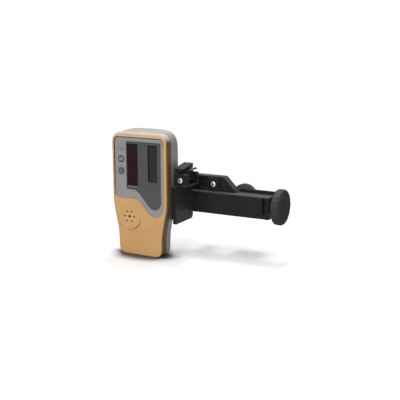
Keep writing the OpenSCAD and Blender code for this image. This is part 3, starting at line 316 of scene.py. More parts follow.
def finished_copy(name, material, body, edge=0.0, sharp=28.0):
    """A copy of a CAD node as its maker would leave it, which then stands for the node.

    Corners are merged, flat triangles joined, faces shaded smooth up to the sharp angle in degrees,
    and edges sharper than that broken by a round of the given width in metres.
    """
    mesh = nodes[name].data.copy()
    mesh.materials.clear()
    work = bmesh.new()
    work.from_mesh(mesh)
    bmesh.ops.remove_doubles(work, verts=work.verts, dist=WELD_GAP)
    bmesh.ops.dissolve_limit(work, angle_limit=FLAT_WITHIN, verts=work.verts, edges=work.edges)
    for face in work.faces:
        face.smooth = True
    mark_creases(work, sharp)
    work.to_mesh(mesh)
    work.free()
    if "custom_normal" in mesh.attributes:
        mesh.attributes.remove(mesh.attributes["custom_normal"])
    made = bpy.data.objects.new(name + "_finished", mesh)
    scene.collection.objects.link(made)
    mesh.materials.append(material)
    if edge:
        broken = made.modifiers.new("broken_edges", "BEVEL")
        broken.width = edge
        broken.segments = EDGE_STEPS
        broken.limit_method = "ANGLE"
        broken.angle_limit = math.radians(sharp)
        broken.harden_normals = True
    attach(made, body)
    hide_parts(name)
    return made


tan_plastic = moulded_plastic(
    "tan_moulding", TAN, TAN_WORN, gloss=0.42, depth=0.02 * MM, specular=0.3, films=(
        # Painted shade: faces that look sideways are darker, and those that look to +X, towards the
        # plate, darkest.
        (TAN_SIDES_PAINTED_SHADE, "Normal", "X", 0.15, 0.8, True),
        (TAN_RIGHT_PAINTED_SHADE, "Normal", "X", 0.15, 0.8, False),
        # Painted highlight: faces that look up, and the whole band above TOP_HIGHLIGHT_FROM, are
        # paler.
        (TAN_TOP_PAINTED_HIGHLIGHT, "Normal", "Z", 0.25, 0.9, False),
        (TAN_TOP_PAINTED_HIGHLIGHT, "Object", "Z", TOP_HIGHLIGHT_FROM, TOP_HIGHLIGHT_FULL, False)))
finished_copy("front_shell", tan_plastic, "receiver", sharp=CASE_CREASE)

# Rear shell: the grey half of the case, deeper above the waist, with the battery bay below, a rail
# for the bracket and a crown that steps above the front shell. It closes on a thin black seal.
GREY = (0.27, 0.278, 0.262, 1)
GREY_WORN = (0.315, 0.322, 0.305, 1)
GREY_TOP_PAINTED_HIGHLIGHT = (0.345, 0.355, 0.325, 1)
# Painted highlight: faces of the grey moulding that look up are paler.
grey_plastic = moulded_plastic(
    "grey_moulding", GREY, GREY_WORN, gloss=0.42, films=(
        (GREY_TOP_PAINTED_HIGHLIGHT, "Normal", "Z", 0.3, 0.9, False),))
finished_copy("rear_shell", grey_plastic, "receiver", sharp=CASE_CREASE)
SEAL_BLACK = (0.014, 0.014, 0.014, 1)
SEAL_DUST = (0.03, 0.03, 0.028, 1)
seal_rubber = moulded_plastic("seal_rubber", SEAL_BLACK, SEAL_DUST, grain=0.8 * MM, gloss=0.7)
finished_copy("case_seal", seal_rubber, "receiver")

# Case screws: four small steel screws with domed cross heads, turned and plated, driven from the
# back into the front shell's bosses. Each head sits at the bottom of its own well.
TURN_STEPS = 72
SEAM_GAP = 0.0001 * MM
DOME_RINGS = 26
DOME_R_SHARE, DOME_FALL_SHARE, HEAD_EDGE_SHARE = 0.94, 0.38, 0.5
BAR_W_SHARE, BAR_L_SHARE, PIT_R_SHARE = 0.17, 0.62, 0.32
RECESS_SLOPE_SHARE, RECESS_DEPTH_SHARE = 0.1, 0.55
SCREW_CREASE = 35.0
RECESS_SHADE_TONE = (0.03, 0.028, 0.026, 1)
TURNING_SCALE = 900.0
DULL_SHARE = 0.72


def full_turn(steps=TURN_STEPS):
    """Even angles once round."""
    return np.linspace(0, 2 * np.pi, steps, endpoint=False)


def turned(radius, along, middle, axis, turn):
    """Points of a turned form: a profile, radius and place along an axis, carried round the axis.

    Radius and place are columns, one row to a point of the profile, or change with the angle too.
    The middle is the axis's place in the other two directions.
    """
    sides = [middle[0] + radius * np.cos(turn), middle[1] + radius * np.sin(turn)]
    sides.insert("XYZ".index(axis), np.broadcast_to(along, sides[0].shape))
    return np.stack(sides, -1)


def capped(points):
    """Rows of points with one more row at each end, drawn to the end's middle, which closes it."""
    ends = points[[0, -1]].mean(1, keepdims=True).repeat(points.shape[1], 1)
    return np.concatenate([ends[:1], points, ends[1:]])


def closed_form(name, points, crease=None, recess_shade=None):
    """A closed piece from rows of points that run round it.

    Doubled points at seams and poles are joined, and every face is turned outwards. Edges that bend
    more than the crease in degrees are shaded sharp, and each point can carry a share of painted
    recess shade.
    """
    made = grid_mesh(name, points, wrap=True)
    if recess_shade is not None:
        made.data.attributes.new("recess_shade", "FLOAT", "POINT").data.foreach_set("value", recess_shade.ravel())
    work = bmesh.new()
    work.from_mesh(made.data)
    bmesh.ops.remove_doubles(work, verts=work.verts, dist=SEAM_GAP)
    bmesh.ops.recalc_face_normals(work, faces=work.faces)
    if crease:
        work.normal_update()
        mark_creases(work, crease)
    work.to_mesh(made.data)
    work.free()
    return made


def one_piece(name, parts):
    """Several meshes as one object, the first one's data first."""
    work = bmesh.new()
    for part in parts:
        work.from_mesh(part.data)
        bpy.data.objects.remove(part)
    mesh = bpy.data.meshes.new(name)
    work.to_mesh(mesh)
    work.free()
    made = bpy.data.objects.new(name, mesh)
    scene.collection.objects.link(made)
    return made


def fitted(made, material, slot, body, *stands_for):
    """Gives a new piece its material, its body and the CAD nodes that it stands for."""
    made.data.materials.clear()
    made.data.materials.append(material)
    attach(made, body)
    if stands_for:
        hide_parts(*stands_for)
    return made


def cross_screw(name, centre, facing, head_r, head_h, shank_r, shank_l):
    """A turned screw with a domed head: its profile (radius, height) carried round the axis.

    The dome falls with the square of the radius, and a cross-shaped recess is taken off its height:
    two bars and a round pit whose sides slope. The head's seat is at the centre point, and the
    painted recess shade is the recess's share of its full depth.
    """
    ramp = np.linspace(0, 1, DOME_RINGS)
    dome = np.stack([head_r * DOME_R_SHARE * ramp, head_h * (1 - DOME_FALL_SHARE * ramp ** 2)], -1)
    profile = np.concatenate([dome, [
        [head_r, head_h * HEAD_EDGE_SHARE], [head_r, 0],
        [shank_r, 0], [shank_r, -shank_l], [0, -shank_l - shank_r]]])
    radius, height = profile[:, :1], profile[:, 1:]
    turn = full_turn()
    across, up = radius * np.cos(turn), radius * np.sin(turn)
    slope = RECESS_SLOPE_SHARE * head_r

    def inside(size, distance):
        return np.clip((size * head_r - distance) / slope, 0, 1)

    bars = [inside(BAR_W_SHARE, abs(a)) * inside(BAR_L_SHARE, abs(b))
            for a, b in ((across, up), (up, across))]
    recess = np.maximum.reduce([*bars, inside(PIT_R_SHARE, np.hypot(across, up))])
    recess[DOME_RINGS:] = 0
    along = facing * (height - RECESS_DEPTH_SHARE * head_h * recess) + centre[1]
    points = turned(radius, along, (centre[0], centre[2]), "Y", turn)
    return closed_form(name, points, SCREW_CREASE, recess_shade=recess)


def plated_metal(name, colour, gloss, worn=0.12):
    """Plated or turned metal: fine turning marks in the roughness and a faint cloud in the colour.

    Painted shade darkens it where the piece carries the attribute of that name: the screws' cross
    recesses.
    """
    material, sheet = new_material(name)
    place = sheet.node("ShaderNodeTexCoord")
    marks = sheet.noise(place, TURNING_SCALE, detail=4.0)
    patch = sheet.noise(place, TURNING_SCALE / 4, detail=3.0)
    dull = tuple(DULL_SHARE * part for part in colour[:3]) + (1,)
    tone = sheet.mix(colour, dull, sheet.ramp(patch, start=0.45, end=0.8))
    settled = sheet.node("ShaderNodeAttribute", attribute_name="recess_shade")
    # Painted shade: the recess_shade attribute blends a dark tone into the screws' cross recesses.
    sheet.paint("Base Color", sheet.mix(tone, RECESS_SHADE_TONE, settled, "Fac"), "Result")
    sheet.paint("Roughness", sheet.ramp(marks, low=gloss - worn, high=gloss + worn))
    sheet.bump(marks, strength=0.25, depth=0.01 * MM)
    sheet.shader.inputs["Metallic"].default_value = 1.0
    return material


STEEL = (0.55, 0.55, 0.56, 1)
steel = plated_metal("plated_steel", STEEL, gloss=0.32)
low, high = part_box("case_screws")
CASE_HEAD_R, CASE_HEAD_H, CASE_SHANK_R = 2.5 * MM, 1.6 * MM, 1.3 * MM
FOOT_SCREW_X = 22.5 * MM
TOP_STEP = 6.5 * MM
case_places = [
    (side * x, y, z)
    for x, y, z in (
        (high.x - CASE_HEAD_R, high.y - CASE_HEAD_H, high.z - CASE_HEAD_R),
        (FOOT_SCREW_X, high.y - TOP_STEP - CASE_HEAD_H, low.z + CASE_HEAD_R),
    )
    for side in (-1, 1)
]
case_screws = one_piece("case_screw_set", [
    cross_screw("case_screw", (x, y, z), 1, CASE_HEAD_R, CASE_HEAD_H, CASE_SHANK_R,
                y - low.y - CASE_SHANK_R)
    for x, y, z in case_places
])
fitted(case_screws, steel, "steel", "receiver", "case_screws")

# Light panel: a thin printed sheet with an S-shaped lower edge, glued into the front shell's
# recess. Its satin print is a warm grey, with a fine dot of the printing screen.
PANEL_GREY = (0.288, 0.287, 0.280, 1)
PANEL_SHADE = (0.252, 0.251, 0.245, 1)
PEEL_GLOSS = 0.07
SHEET_EDGE = 0.12 * MM


def printed_sheet(name, colour, shade, gloss, dot=0.45 * MM):
    """A printed plastic sheet: the screen's dots in the colour and a soft orange-peel gloss."""
    material, sheet = new_material(name)
    place = sheet.node("ShaderNodeTexCoord")
    dots = sheet.node("ShaderNodeTexVoronoi", Scale=1 / dot, Randomness=0.35)
    sheet.join(place, "Object", dots, "Vector")
    size = sheet.ramp(dots, "Distance", start=0.15, end=0.65)
    cloud = sheet.noise(place, scale=70.0, detail=4.0)
    ink = sheet.calc("MULTIPLY", (size, 0), (cloud, 0))
    sheet.paint("Base Color", sheet.mix(colour, shade, ink), "Result")
    sheet.paint("Roughness", sheet.ramp(cloud, low=gloss - PEEL_GLOSS, high=gloss + PEEL_GLOSS))
    sheet.bump(sheet.noise(place, scale=1100.0, detail=1.0), strength=0.12, depth=0.02 * MM)
    return material


panel_grey = printed_sheet("panel_print", PANEL_GREY, PANEL_SHADE, gloss=0.4)
finished_copy("front_panel", panel_grey, "receiver", edge=SHEET_EDGE)

# Dark panel: a second sheet let into the light one, with the two window openings cut in it.
# It is printed a semi-gloss charcoal from behind and follows the same S curve.
CHARCOAL = (0.060, 0.060, 0.062, 1)
CHARCOAL_DEEP = (0.051, 0.051, 0.053, 1)
panel_dark = printed_sheet("dark_panel_print", CHARCOAL, CHARCOAL_DEEP, gloss=0.3, dot=0.6 * MM)
finished_copy("display_panel", panel_dark, "receiver", edge=SHEET_EDGE)

# Sensor window: a polished dark red filter in front of the row of photodiodes. The row shows
# through as faint bands, one to each diode, and the top lies in the shade of the frame. A pale
# printed sill ends its foot.
RED_DEEP = (0.019, 0.0024, 0.0050, 1)
RED_BAND = (0.025, 0.0033, 0.0066, 1)
RED_SHADE = (0.0105, 0.0070, 0.0058, 1)
RED_SHADE_H = 17.0 * MM
SMEAR = 0.08
DIODES = 8
FLANGE = 1.0 * MM
SILL_W, SILL_H, SILL_INSET = 1.3 * MM, 0.2 * MM, 0.7 * MM
SILL_GREY = (0.21, 0.205, 0.205, 1)
SILL_GREY_DEEP = (0.17, 0.165, 0.165, 1)
SILL_STEPS = 40
LINE_SIDES = 16
LINE_TAPER_SHARE = 0.06
diode_low, diode_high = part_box("photodiodes")
sensor_low, sensor_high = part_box("sensor_window")


def polished_window(name, rough):
    """A polished window under a clear coat, smeared a little; its tint is still to be painted."""
    material, sheet = new_material(name)
    place = sheet.node("ShaderNodeTexCoord")
    cloud = sheet.noise(place, scale=120.0, detail=3.0)
    sheet.paint("Roughness", sheet.ramp(cloud, low=rough, high=rough + SMEAR))
    sheet.shader.inputs["Coat Weight"].default_value = 0.06
    sheet.shader.inputs["Coat Roughness"].default_value = 0.04
    sheet.shader.inputs["Specular IOR Level"].default_value = 0.08
    split = sheet.node("ShaderNodeSeparateXYZ")
    sheet.join(place, "Object", split, 0)
    return material, sheet, split, cloud


def sensor_filter():
    """The red filter: a sine along Z, one wave to a diode, tints it; it darkens towards its top."""
    material, sheet, split, cloud = polished_window("red_filter", rough=0.1)
    pitch = (diode_high.z - diode_low.z) / DIODES
    angle = sheet.calc("MULTIPLY", (split, "Z"), 2 * math.pi / pitch)
    band = sheet.ramp(sheet.calc("SINE", (angle, 0)), start=-0.6, end=0.8)
    tint = sheet.mix(RED_DEEP, RED_BAND, sheet.calc("MULTIPLY", (band, 0), (cloud, 0)))
    shade = sheet.ramp(split, "Z", sensor_high.z - RED_SHADE_H, sensor_high.z - FLANGE, soft=True)
    sheet.paint("Base Color", sheet.mix(tint, RED_SHADE, shade), "Result")
    return material


def raised_line(name, path, width, height):
    """A printed line that stands a little proud: an ellipse carried along a path in X and Z.

    The path is an array of (x, z, y of the surface below), and the line narrows to nothing at
    both ends, with the root of the distance.
    """
    heading = np.gradient(path[:, :2], axis=0)
    heading /= np.linalg.norm(heading, axis=1)[:, None]
    side = np.stack([-heading[:, 1], heading[:, 0]], -1)
    share = np.linspace(0, 1, len(path))
    taper = np.clip(np.minimum(share, 1 - share) / LINE_TAPER_SHARE, 0, 1)[:, None] ** 0.5
    sweep = full_turn(LINE_SIDES)
    reach = taper * width / 2 * np.cos(sweep)
    x = path[:, :1] + side[:, :1] * reach
    z = path[:, 1:2] + side[:, 1:] * reach
    y = path[:, 2:] - taper * height * np.sin(sweep)
    return closed_form(name, np.stack([x, y, z], -1))


finished_copy("sensor_window", sensor_filter(), "receiver", edge=SHEET_EDGE)
sill_side = FLANGE + SILL_INSET / 2
sill_x = np.linspace(sensor_low.x + sill_side, sensor_high.x - sill_side, SILL_STEPS)
sill_z = np.full_like(sill_x, sensor_low.z + FLANGE + SILL_INSET)
sill_path = np.stack([sill_x, sill_z, np.full_like(sill_x, sensor_low.y)], -1)
sill_print = printed_sheet("sill_print", SILL_GREY, SILL_GREY_DEEP, gloss=0.45)
fitted(raised_line("window_sill", sill_path, SILL_W, SILL_H), sill_print, "panel_grey", "receiver")

# Panel shadow line: a thin raised dark brown line on the panel against the edge of its recess,
# painted shadow of the recess's lip. It shows along the top and some way down both sides.
SHADOW_LINE_W, SHADOW_LINE_H = 1.0 * MM, 0.3 * MM
SHADOW_LINE_LEFT, SHADOW_LINE_RIGHT = 58.0 * MM, 8.0 * MM
SHADOW_LINE_BROWN = (0.12, 0.058, 0.018, 1)
SHADOW_LINE_DARK = (0.085, 0.042, 0.014, 1)
PANEL_CORNER = 5.0 * MM
RISE_STEPS, BEND_STEPS, TOP_STEPS, FALL_STEPS = 20, 16, 48, 14
panel_low, panel_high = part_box("front_panel")


def panel_edge(inset, left_run, right_run):
    """A path round the panel's top, drawn in from its edge: up the left side, a quarter circle,
    along the top, a quarter circle, and down the right side."""
    bend_r = PANEL_CORNER - inset
    left, right = panel_low.x + PANEL_CORNER, panel_high.x - PANEL_CORNER
    shoulder = panel_high.z - PANEL_CORNER
    bend = np.linspace(0, np.pi / 2, BEND_STEPS)
    x = np.concatenate([
        np.full(RISE_STEPS, left - bend_r), left - bend_r * np.cos(bend),
        np.linspace(left, right, TOP_STEPS + 2)[1:-1],
        right + bend_r * np.sin(bend), np.full(FALL_STEPS, right + bend_r)])
    z = np.concatenate([
        np.linspace(shoulder - left_run, shoulder, RISE_STEPS, endpoint=False),
        shoulder + bend_r * np.sin(bend), np.full(TOP_STEPS, shoulder + bend_r),
        shoulder + bend_r * np.cos(bend),
        np.linspace(shoulder, shoulder - right_run, FALL_STEPS + 1)[1:]])
    return np.stack([x, z, np.full_like(x, panel_low.y)], -1)


shadow_line_ink = printed_sheet("painted_shadow_brown", SHADOW_LINE_BROWN, SHADOW_LINE_DARK, gloss=0.5)
shadow_line = raised_line("panel_painted_shadow_line", panel_edge(SHADOW_LINE_W / 2, SHADOW_LINE_LEFT, SHADOW_LINE_RIGHT), SHADOW_LINE_W, SHADOW_LINE_H)
fitted(shadow_line, shadow_line_ink, "panel_dark", "receiver")

# Display window: a clear lens over the liquid crystal cell, which is off and shows dark grey
# inside a darker border at the left and the top, painted shade of the window's recess. The rear
# window is the same lens, for reading from behind.
CELL_GREY = (0.0270, 0.0270, 0.0275, 1)
CELL_CLOUD = (0.0235, 0.0235, 0.0245, 1)
BORDER_PAINTED_SHADE = (0.0085, 0.0085, 0.0090, 1)
BORDER_LEFT, BORDER_TOP, BORDER_SOFT = 3.2 * MM, 2.6 * MM, 0.5 * MM


def display_lens(name, low, high):
    """A lens over a cell: the cell's cloudy grey inside a border of painted shade, left and top."""
    material, sheet, split, cloud = polished_window(name, rough=0.12)
    left, top = low.x + BORDER_LEFT, high.z - BORDER_TOP
    past_left = sheet.ramp(split, "X", left - BORDER_SOFT, left + BORDER_SOFT, soft=True)
    below_top = sheet.ramp(split, "Z", top + BORDER_SOFT, top - BORDER_SOFT, soft=True)
    inside = sheet.calc("MULTIPLY", (past_left, 0), (below_top, 0))
    cell = sheet.mix(CELL_GREY, CELL_CLOUD, cloud)
    sheet.paint("Base Color", sheet.mix(BORDER_PAINTED_SHADE, cell, inside), "Result")
    return material


for name in ("lcd_window", "rear_window"):
    glass = display_lens(name + "_lens", *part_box(name))
    finished_copy(name, glass, "receiver", edge=SHEET_EDGE)

# Keys: three round caps of soft plastic that press through the panel onto a rubber mat. The upper
# one is panel grey with a green power mark, the other two are dark with light marks.
KEY_R, KEY_SKIRT_R, KEY_SKIRT_H = 4.0 * MM, 4.9 * MM, 0.8 * MM
KEY_CROWN, KEY_ROLL = 0.35 * MM, 0.5 * MM
KEY_CREASE = 40.0
KEY_RINGS, ROLL_STEPS = 20, 8
ARC_STEPS, STROKE_STEPS = 40, 24
MARK_W, POWER_MARK_W, MARK_H = 0.62 * MM, 1.1 * MM, 0.16 * MM


def key_cap(name, middle, front, back):
    """A round cap: a crown that falls with the square of the radius, a rolled edge, a straight
    side and a skirt behind. The profile (radius, depth) is carried round the key's axis."""
    ramp = np.linspace(0, 1, KEY_RINGS)
    roll = np.linspace(0, np.pi / 2, ROLL_STEPS)[1:]
    flat_r = KEY_R - KEY_ROLL
    deep = back - front
    radius = np.concatenate([
        flat_r * ramp, flat_r + KEY_ROLL * np.sin(roll), [KEY_R, KEY_SKIRT_R, KEY_SKIRT_R, 0.0]])
    depth = np.concatenate([
        KEY_CROWN * ramp ** 2, KEY_CROWN + KEY_ROLL * (1 - np.cos(roll)),
        [deep - KEY_SKIRT_H, deep - KEY_SKIRT_H, deep, deep]])
    points = turned(radius[:, None], front + depth[:, None], middle, "Y", full_turn())
    return closed_form(name, points, KEY_CREASE)


def crown_path(middle, front, x, z):
    """A path on a key's crown, given as offsets from its middle: the crown falls with the square of
    the distance from there."""
    fall = KEY_CROWN * (x ** 2 + z ** 2) / (KEY_R - KEY_ROLL) ** 2
    return np.stack([middle[0] + x, middle[1] + z, front + fall], -1)


def key_mark(name, middle, front, width, arcs, strokes):
    """A key's mark of raised lines, in millimetres from the key's middle: arcs as a radius and two
    angles in degrees from +X towards +Z, and strokes as x and z of their two ends."""
    paths = []
    for radius, start, end in arcs:
        angle = np.radians(np.linspace(start, end, ARC_STEPS))
        paths.append((radius * MM * np.cos(angle), radius * MM * np.sin(angle)))
    for x0, z0, x1, z1 in strokes:
        share = np.linspace(0, 1, STROKE_STEPS)
        paths.append((MM * (x0 + (x1 - x0) * share), MM * (z0 + (z1 - z0) * share)))
    return one_piece(name, [
        raised_line("mark_line", crown_path(middle, front, *path), width, MARK_H)
        for path in paths])


KEY_GREY = (0.27, 0.285, 0.265, 1)
KEY_GREY_WORN = (0.30, 0.315, 0.295, 1)
KEY_DARK = (0.085, 0.083, 0.092, 1)
KEY_DARK_WORN = (0.11, 0.108, 0.116, 1)
GREEN_INK = (0.045, 0.235, 0.125, 1)
GREEN_INK_THIN = (0.07, 0.28, 0.16, 1)
LIGHT_INK = (0.42, 0.42, 0.42, 1)
LIGHT_INK_THIN = (0.34, 0.34, 0.345, 1)
DIM_INK = (0.2, 0.2, 0.205, 1)
DIM_INK_THIN = (0.16, 0.16, 0.165, 1)
INK_GLOSS = 0.45
key_grey = moulded_plastic("key_grey", KEY_GREY, KEY_GREY_WORN, gloss=0.5)
key_dark = moulded_plastic("key_dark", KEY_DARK, KEY_DARK_WORN, gloss=0.5)
green_ink = printed_sheet("green_ink", GREEN_INK, GREEN_INK_THIN, INK_GLOSS)
light_ink = printed_sheet("light_ink", LIGHT_INK, LIGHT_INK_THIN, INK_GLOSS)
dim_ink = printed_sheet("dim_ink", DIM_INK, DIM_INK_THIN, INK_GLOSS)
for name, cap_finish, mark_finish, slot_name, width, arcs, strokes in (
    ("power_button", key_grey, green_ink, "button_green", POWER_MARK_W, [(2.1, 130, 410)], [
        (0, 0.3, 0, 2.9)]),
    ("tone_button", key_dark, light_ink, "button_dark", MARK_W, [(1.2, -55, 55), (2.2, -50, 50)], [
        (-1.7, -0.6, -1.7, 0.6), (-1.5, 0.5, -0.2, 1.5),
        (-1.5, -0.5, -0.2, -1.5), (-0.2, -1.6, -0.2, 1.6)]),
    ("precision_button", key_dark, dim_ink, "button_dark", MARK_W, [], [
        (-2.1, -1.2, 2.1, -1.2), (-2.1, 0.0, 2.1, 0.0), (-2.1, 1.2, 2.1, 1.2)]),
):
    key_low, key_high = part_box(name)
    middle = ((key_low.x + key_high.x) / 2, (key_low.z + key_high.z) / 2)
    fitted(key_cap(name + "_cap", middle, key_low.y, key_high.y), cap_finish, slot_name, name, name)
    marks = key_mark(name + "_mark", middle, key_low.y, width, arcs, strokes)
    fitted(marks, mark_finish, slot_name, name)

# Works inside the case: circuit boards with their parts, held by four small screws behind the keys'
# silicone mat. They are closed in, and show only where the case is opened or cut.
BOARD_MASK = (0.02, 0.11, 0.05, 1)
BOARD_TRACE = (0.035, 0.19, 0.085, 1)
DIODE_BLACK = (0.008, 0.008, 0.011, 1)
DIODE_DUST = (0.014, 0.013, 0.018, 1)
SILICONE = (0.42, 0.42, 0.40, 1)
SILICONE_WORN = (0.48, 0.48, 0.46, 1)
CRYSTAL = (0.21, 0.25, 0.17, 1)
CRYSTAL_DEEP = (0.19, 0.225, 0.15, 1)
BRASS = (0.58, 0.41, 0.15, 1)
FINE_EDGE = 0.1 * MM


def circuit_board(name):
    """A green circuit board: straight traces as thin cell borders under a glossy solder mask."""
    material, sheet = new_material(name)
    place = sheet.node("ShaderNodeTexCoord")
    cells = sheet.node("ShaderNodeTexVoronoi", Scale=420.0, Randomness=0.6)
    cells.feature = "DISTANCE_TO_EDGE"
    sheet.join(place, "Object", cells, "Vector")
    trace = sheet.ramp(cells, "Distance", end=0.08, low=1.0, high=0.0)
    sheet.paint("Base Color", sheet.mix(BOARD_MASK, BOARD_TRACE, trace), "Result")
    sheet.bump(trace, strength=0.4, depth=0.04 * MM)
    sheet.shader.inputs["Roughness"].default_value = 0.35
    return material


board_green = circuit_board("board_mask")
diode_black = moulded_plastic("diode_case", DIODE_BLACK, DIODE_DUST, gloss=0.25)
silicone = moulded_plastic("keypad_silicone", SILICONE, SILICONE_WORN, gloss=0.6)
crystal = printed_sheet("crystal_cell", CRYSTAL, CRYSTAL_DEEP, gloss=0.25)
brass = plated_metal("turned_brass", BRASS, gloss=0.3)
for name, finish, slot_name, width in (
    ("main_board", board_green, "board_green", 0.0),
    ("sensor_board", board_green, "board_green", 0.0),
    ("photodiodes", diode_black, "diode_black", FINE_EDGE),
    ("keypad_mat", silicone, "silicone", 0.2 * MM),
    ("lcd_module", crystal, "display_cell", FINE_EDGE),
    ("rear_lcd", crystal, "display_cell", FINE_EDGE),
    ("board_screws", steel, "steel", FINE_EDGE),
    ("sounder", brass, "brass", 0.2 * MM),
):
    finished_copy(name, finish, "receiver", edge=width)

# Sound plugs: each sound hole is filled by a black plug that reaches back to the sounder. Its
# black is painted shade, a dark piece that stands for the shade deep in the holes.
HOLE_SHADE_BLACK = (0.005, 0.0048, 0.0045, 1)
HOLE_SHADE_CLOUD = (0.010, 0.0092, 0.008, 1)
HOLE_RING_R = 6.4 * MM
RING_HOLES = 6
RING_HOLE_R, MIDDLE_HOLE_R = 1.05 * MM, 1.6 * MM
PLUG_SET, PLUG_CROWN, PLUG_PLAY = 0.35 * MM, 0.2 * MM, 0.02 * MM
PLUG_RINGS = 8
PLUG_CREASE = 40.0
FACE_TO_SOUNDER = 2.3 * MM
DISC_LEAN = math.tan(math.radians(5.0))
sounder_low, sounder_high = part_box("sounder")
disc_x = (sounder_low.x + sounder_high.x) / 2
disc_z = (sounder_low.z + sounder_high.z) / 2


def sound_plug(name, x, z, hole_r):
    """A black plug, painted shade in a sound hole: a crown that falls with the square of the
    radius, then a straight side down to the sounder. The profile (radius, depth) is carried round
    the hole's axis; the disc's face leans below its middle, and the plug's crown follows it."""
    face_y = sounder_low.y - FACE_TO_SOUNDER + min(0.0, (z - disc_z) * DISC_LEAN)
    ramp = np.linspace(0, 1, PLUG_RINGS)
    radius = (hole_r - PLUG_PLAY) * np.concatenate([ramp, [1.0, 0.0]])
    y = np.concatenate([face_y + PLUG_SET + PLUG_CROWN * ramp ** 2, [sounder_low.y, sounder_low.y]])
    points = turned(radius[:, None], y[:, None], (x, z), "Y", full_turn(TURN_STEPS // 2))
    return closed_form(name, points, PLUG_CREASE)


hole_shade_finish = moulded_plastic(
    "hole_painted_shade", HOLE_SHADE_BLACK, HOLE_SHADE_CLOUD, grain=0.3 * MM, gloss=0.9, depth=0.08 * MM, specular=0.05)
plug_places = [(disc_x, disc_z, MIDDLE_HOLE_R)] + [
    (disc_x + HOLE_RING_R * math.cos(angle), disc_z + HOLE_RING_R * math.sin(angle), RING_HOLE_R)
    for angle in full_turn(RING_HOLES)]
plugs = one_piece("sound_plugs", [sound_plug("sound_plug", *hole) for hole in plug_places])
fitted(plugs, hole_shade_finish, "seal_rubber", "receiver")

# Battery bay: two cells with plain jackets stand opposite ways up between a coil spring and a flat
# contact each. The jackets are shrunk film over steel cans with a crimped rim.
cells_low, cells_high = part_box("battery_cells")
springs_low, springs_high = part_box("battery_springs")
CELL_R = (cells_high.y - cells_low.y) / 2
cell_x = cells_high.x - CELL_R
cell_y = (cells_low.y + cells_high.y) / 2
NUB_R, NUB_L, NUB_ROUND = 2.6 * MM, 1.0 * MM, 0.2 * MM
CRIMP, CRIMP_W, CRIMP_RISE, FOOT_RIM_W = 0.7 * MM, 1.6 * MM, 0.01 * MM, 1.5 * MM
CELL_CREASE = 40.0
JACKET = (0.045, 0.05, 0.062, 1)
JACKET_LIT = (0.065, 0.072, 0.085, 1)
SPRING_L = 2.6 * MM
SPRING_TURNS = 3.5
SPRING_WIDE, SPRING_TIP = 0.68 * CELL_R, 0.42 * CELL_R
SPRING_STEPS, WIRE_SIDES = 220, 12
SPRING_END_SHARE = 0.14
WIRE_R = 0.35 * MM
SPRING_WIRE = (0.6, 0.6, 0.58, 1)


def battery_cell(name, x, foot, top, nub_up):
    """A cell on end: its profile (radius, height) of nub, crimp and can, carried round."""
    can = top - foot - NUB_L
    profile = np.array([
        [0, 0], [NUB_R - NUB_ROUND, 0], [NUB_R, NUB_ROUND], [NUB_R, NUB_L],
        [CELL_R - CRIMP_W, NUB_L], [CELL_R - CRIMP, NUB_L - CRIMP_RISE], [CELL_R, NUB_L + CRIMP],
        [CELL_R, NUB_L + 2 * CRIMP], [CELL_R, NUB_L + can / 2], [CELL_R, NUB_L + can - CRIMP],
        [CELL_R - CRIMP, NUB_L + can], [CELL_R - FOOT_RIM_W, NUB_L + can], [0, NUB_L + can]])
    radius, height = profile[:, :1], profile[:, 1:]
    z = top - height if nub_up else foot + height
    return closed_form(name, turned(radius, z, (x, cell_y), "Z", full_turn()), CELL_CREASE)


def cone_spring(name, x, foot, tip):
    """A cone spring: a round wire carried along a helix whose radius shrinks from foot to tip."""
    share = np.linspace(0, 1, SPRING_STEPS)[:, None]
    angle = 2 * np.pi * SPRING_TURNS * share
    sweep = full_turn(WIRE_SIDES)
    rise = foot + (tip - foot) * (SPRING_END_SHARE + (1 - 2 * SPRING_END_SHARE) * share)
    out = SPRING_WIDE + (SPRING_TIP - SPRING_WIDE) * share + WIRE_R * np.cos(sweep)
    wire = turned(out, rise + WIRE_R * np.sin(sweep), (x, cell_y), "Z", angle)
    return closed_form(name, capped(wire))


jacket = moulded_plastic("cell_jacket", JACKET, JACKET_LIT, grain=2.0 * MM, gloss=0.3)
cells = one_piece("battery_cell_pair", [
    battery_cell("cell", -cell_x, springs_low.z + SPRING_L, cells_high.z, True),
    battery_cell("cell", cell_x, cells_low.z, springs_high.z - SPRING_L, False)])
fitted(cells, jacket, "cell_jacket", "receiver", "battery_cells")
spring_steel = plated_metal("spring_wire", SPRING_WIRE, gloss=0.28)
springs = one_piece("battery_spring_pair", [
    cone_spring("spring", -cell_x, springs_low.z, springs_low.z + SPRING_L),
    cone_spring("spring", cell_x, springs_high.z, springs_high.z - SPRING_L)])
fitted(springs, spring_steel, "spring_steel", "receiver", "battery_springs")
finished_copy("battery_contacts", spring_steel, "receiver", edge=FINE_EDGE)
finished_copy("cover_hinge_pin", steel, "receiver", edge=FINE_EDGE)
finished_copy("battery_cover", grey_plastic, "battery_door", edge=0.3 * MM)

# Bracket: a black plate beside the receiver with a housing for the lock lever, a web that holds the
# receiver's rail and a foot for the arm. It is moulded of glass-filled nylon, with a spark grain.
NYLON = (0.0138, 0.0141, 0.015, 1)
NYLON_WORN = (0.022, 0.022, 0.023, 1)
NYLON_TOP_PAINTED_SHEEN = (0.08, 0.081, 0.082, 1)
NYLON_SIDE_PAINTED_LIGHT = (0.034, 0.0345, 0.036, 1)
BRACKET_HEAD_R, BRACKET_HEAD_H, BRACKET_SHANK_R = 2.8 * MM, 1.8 * MM, 1.6 * MM


def nylon(name, films):
    """Black glass-filled nylon, dull from its spark grain, with its own films of painted light."""
    return moulded_plastic(
        name, NYLON, NYLON_WORN, grain=0.5 * MM, depth=0.05 * MM, specular=0.1, films=films)


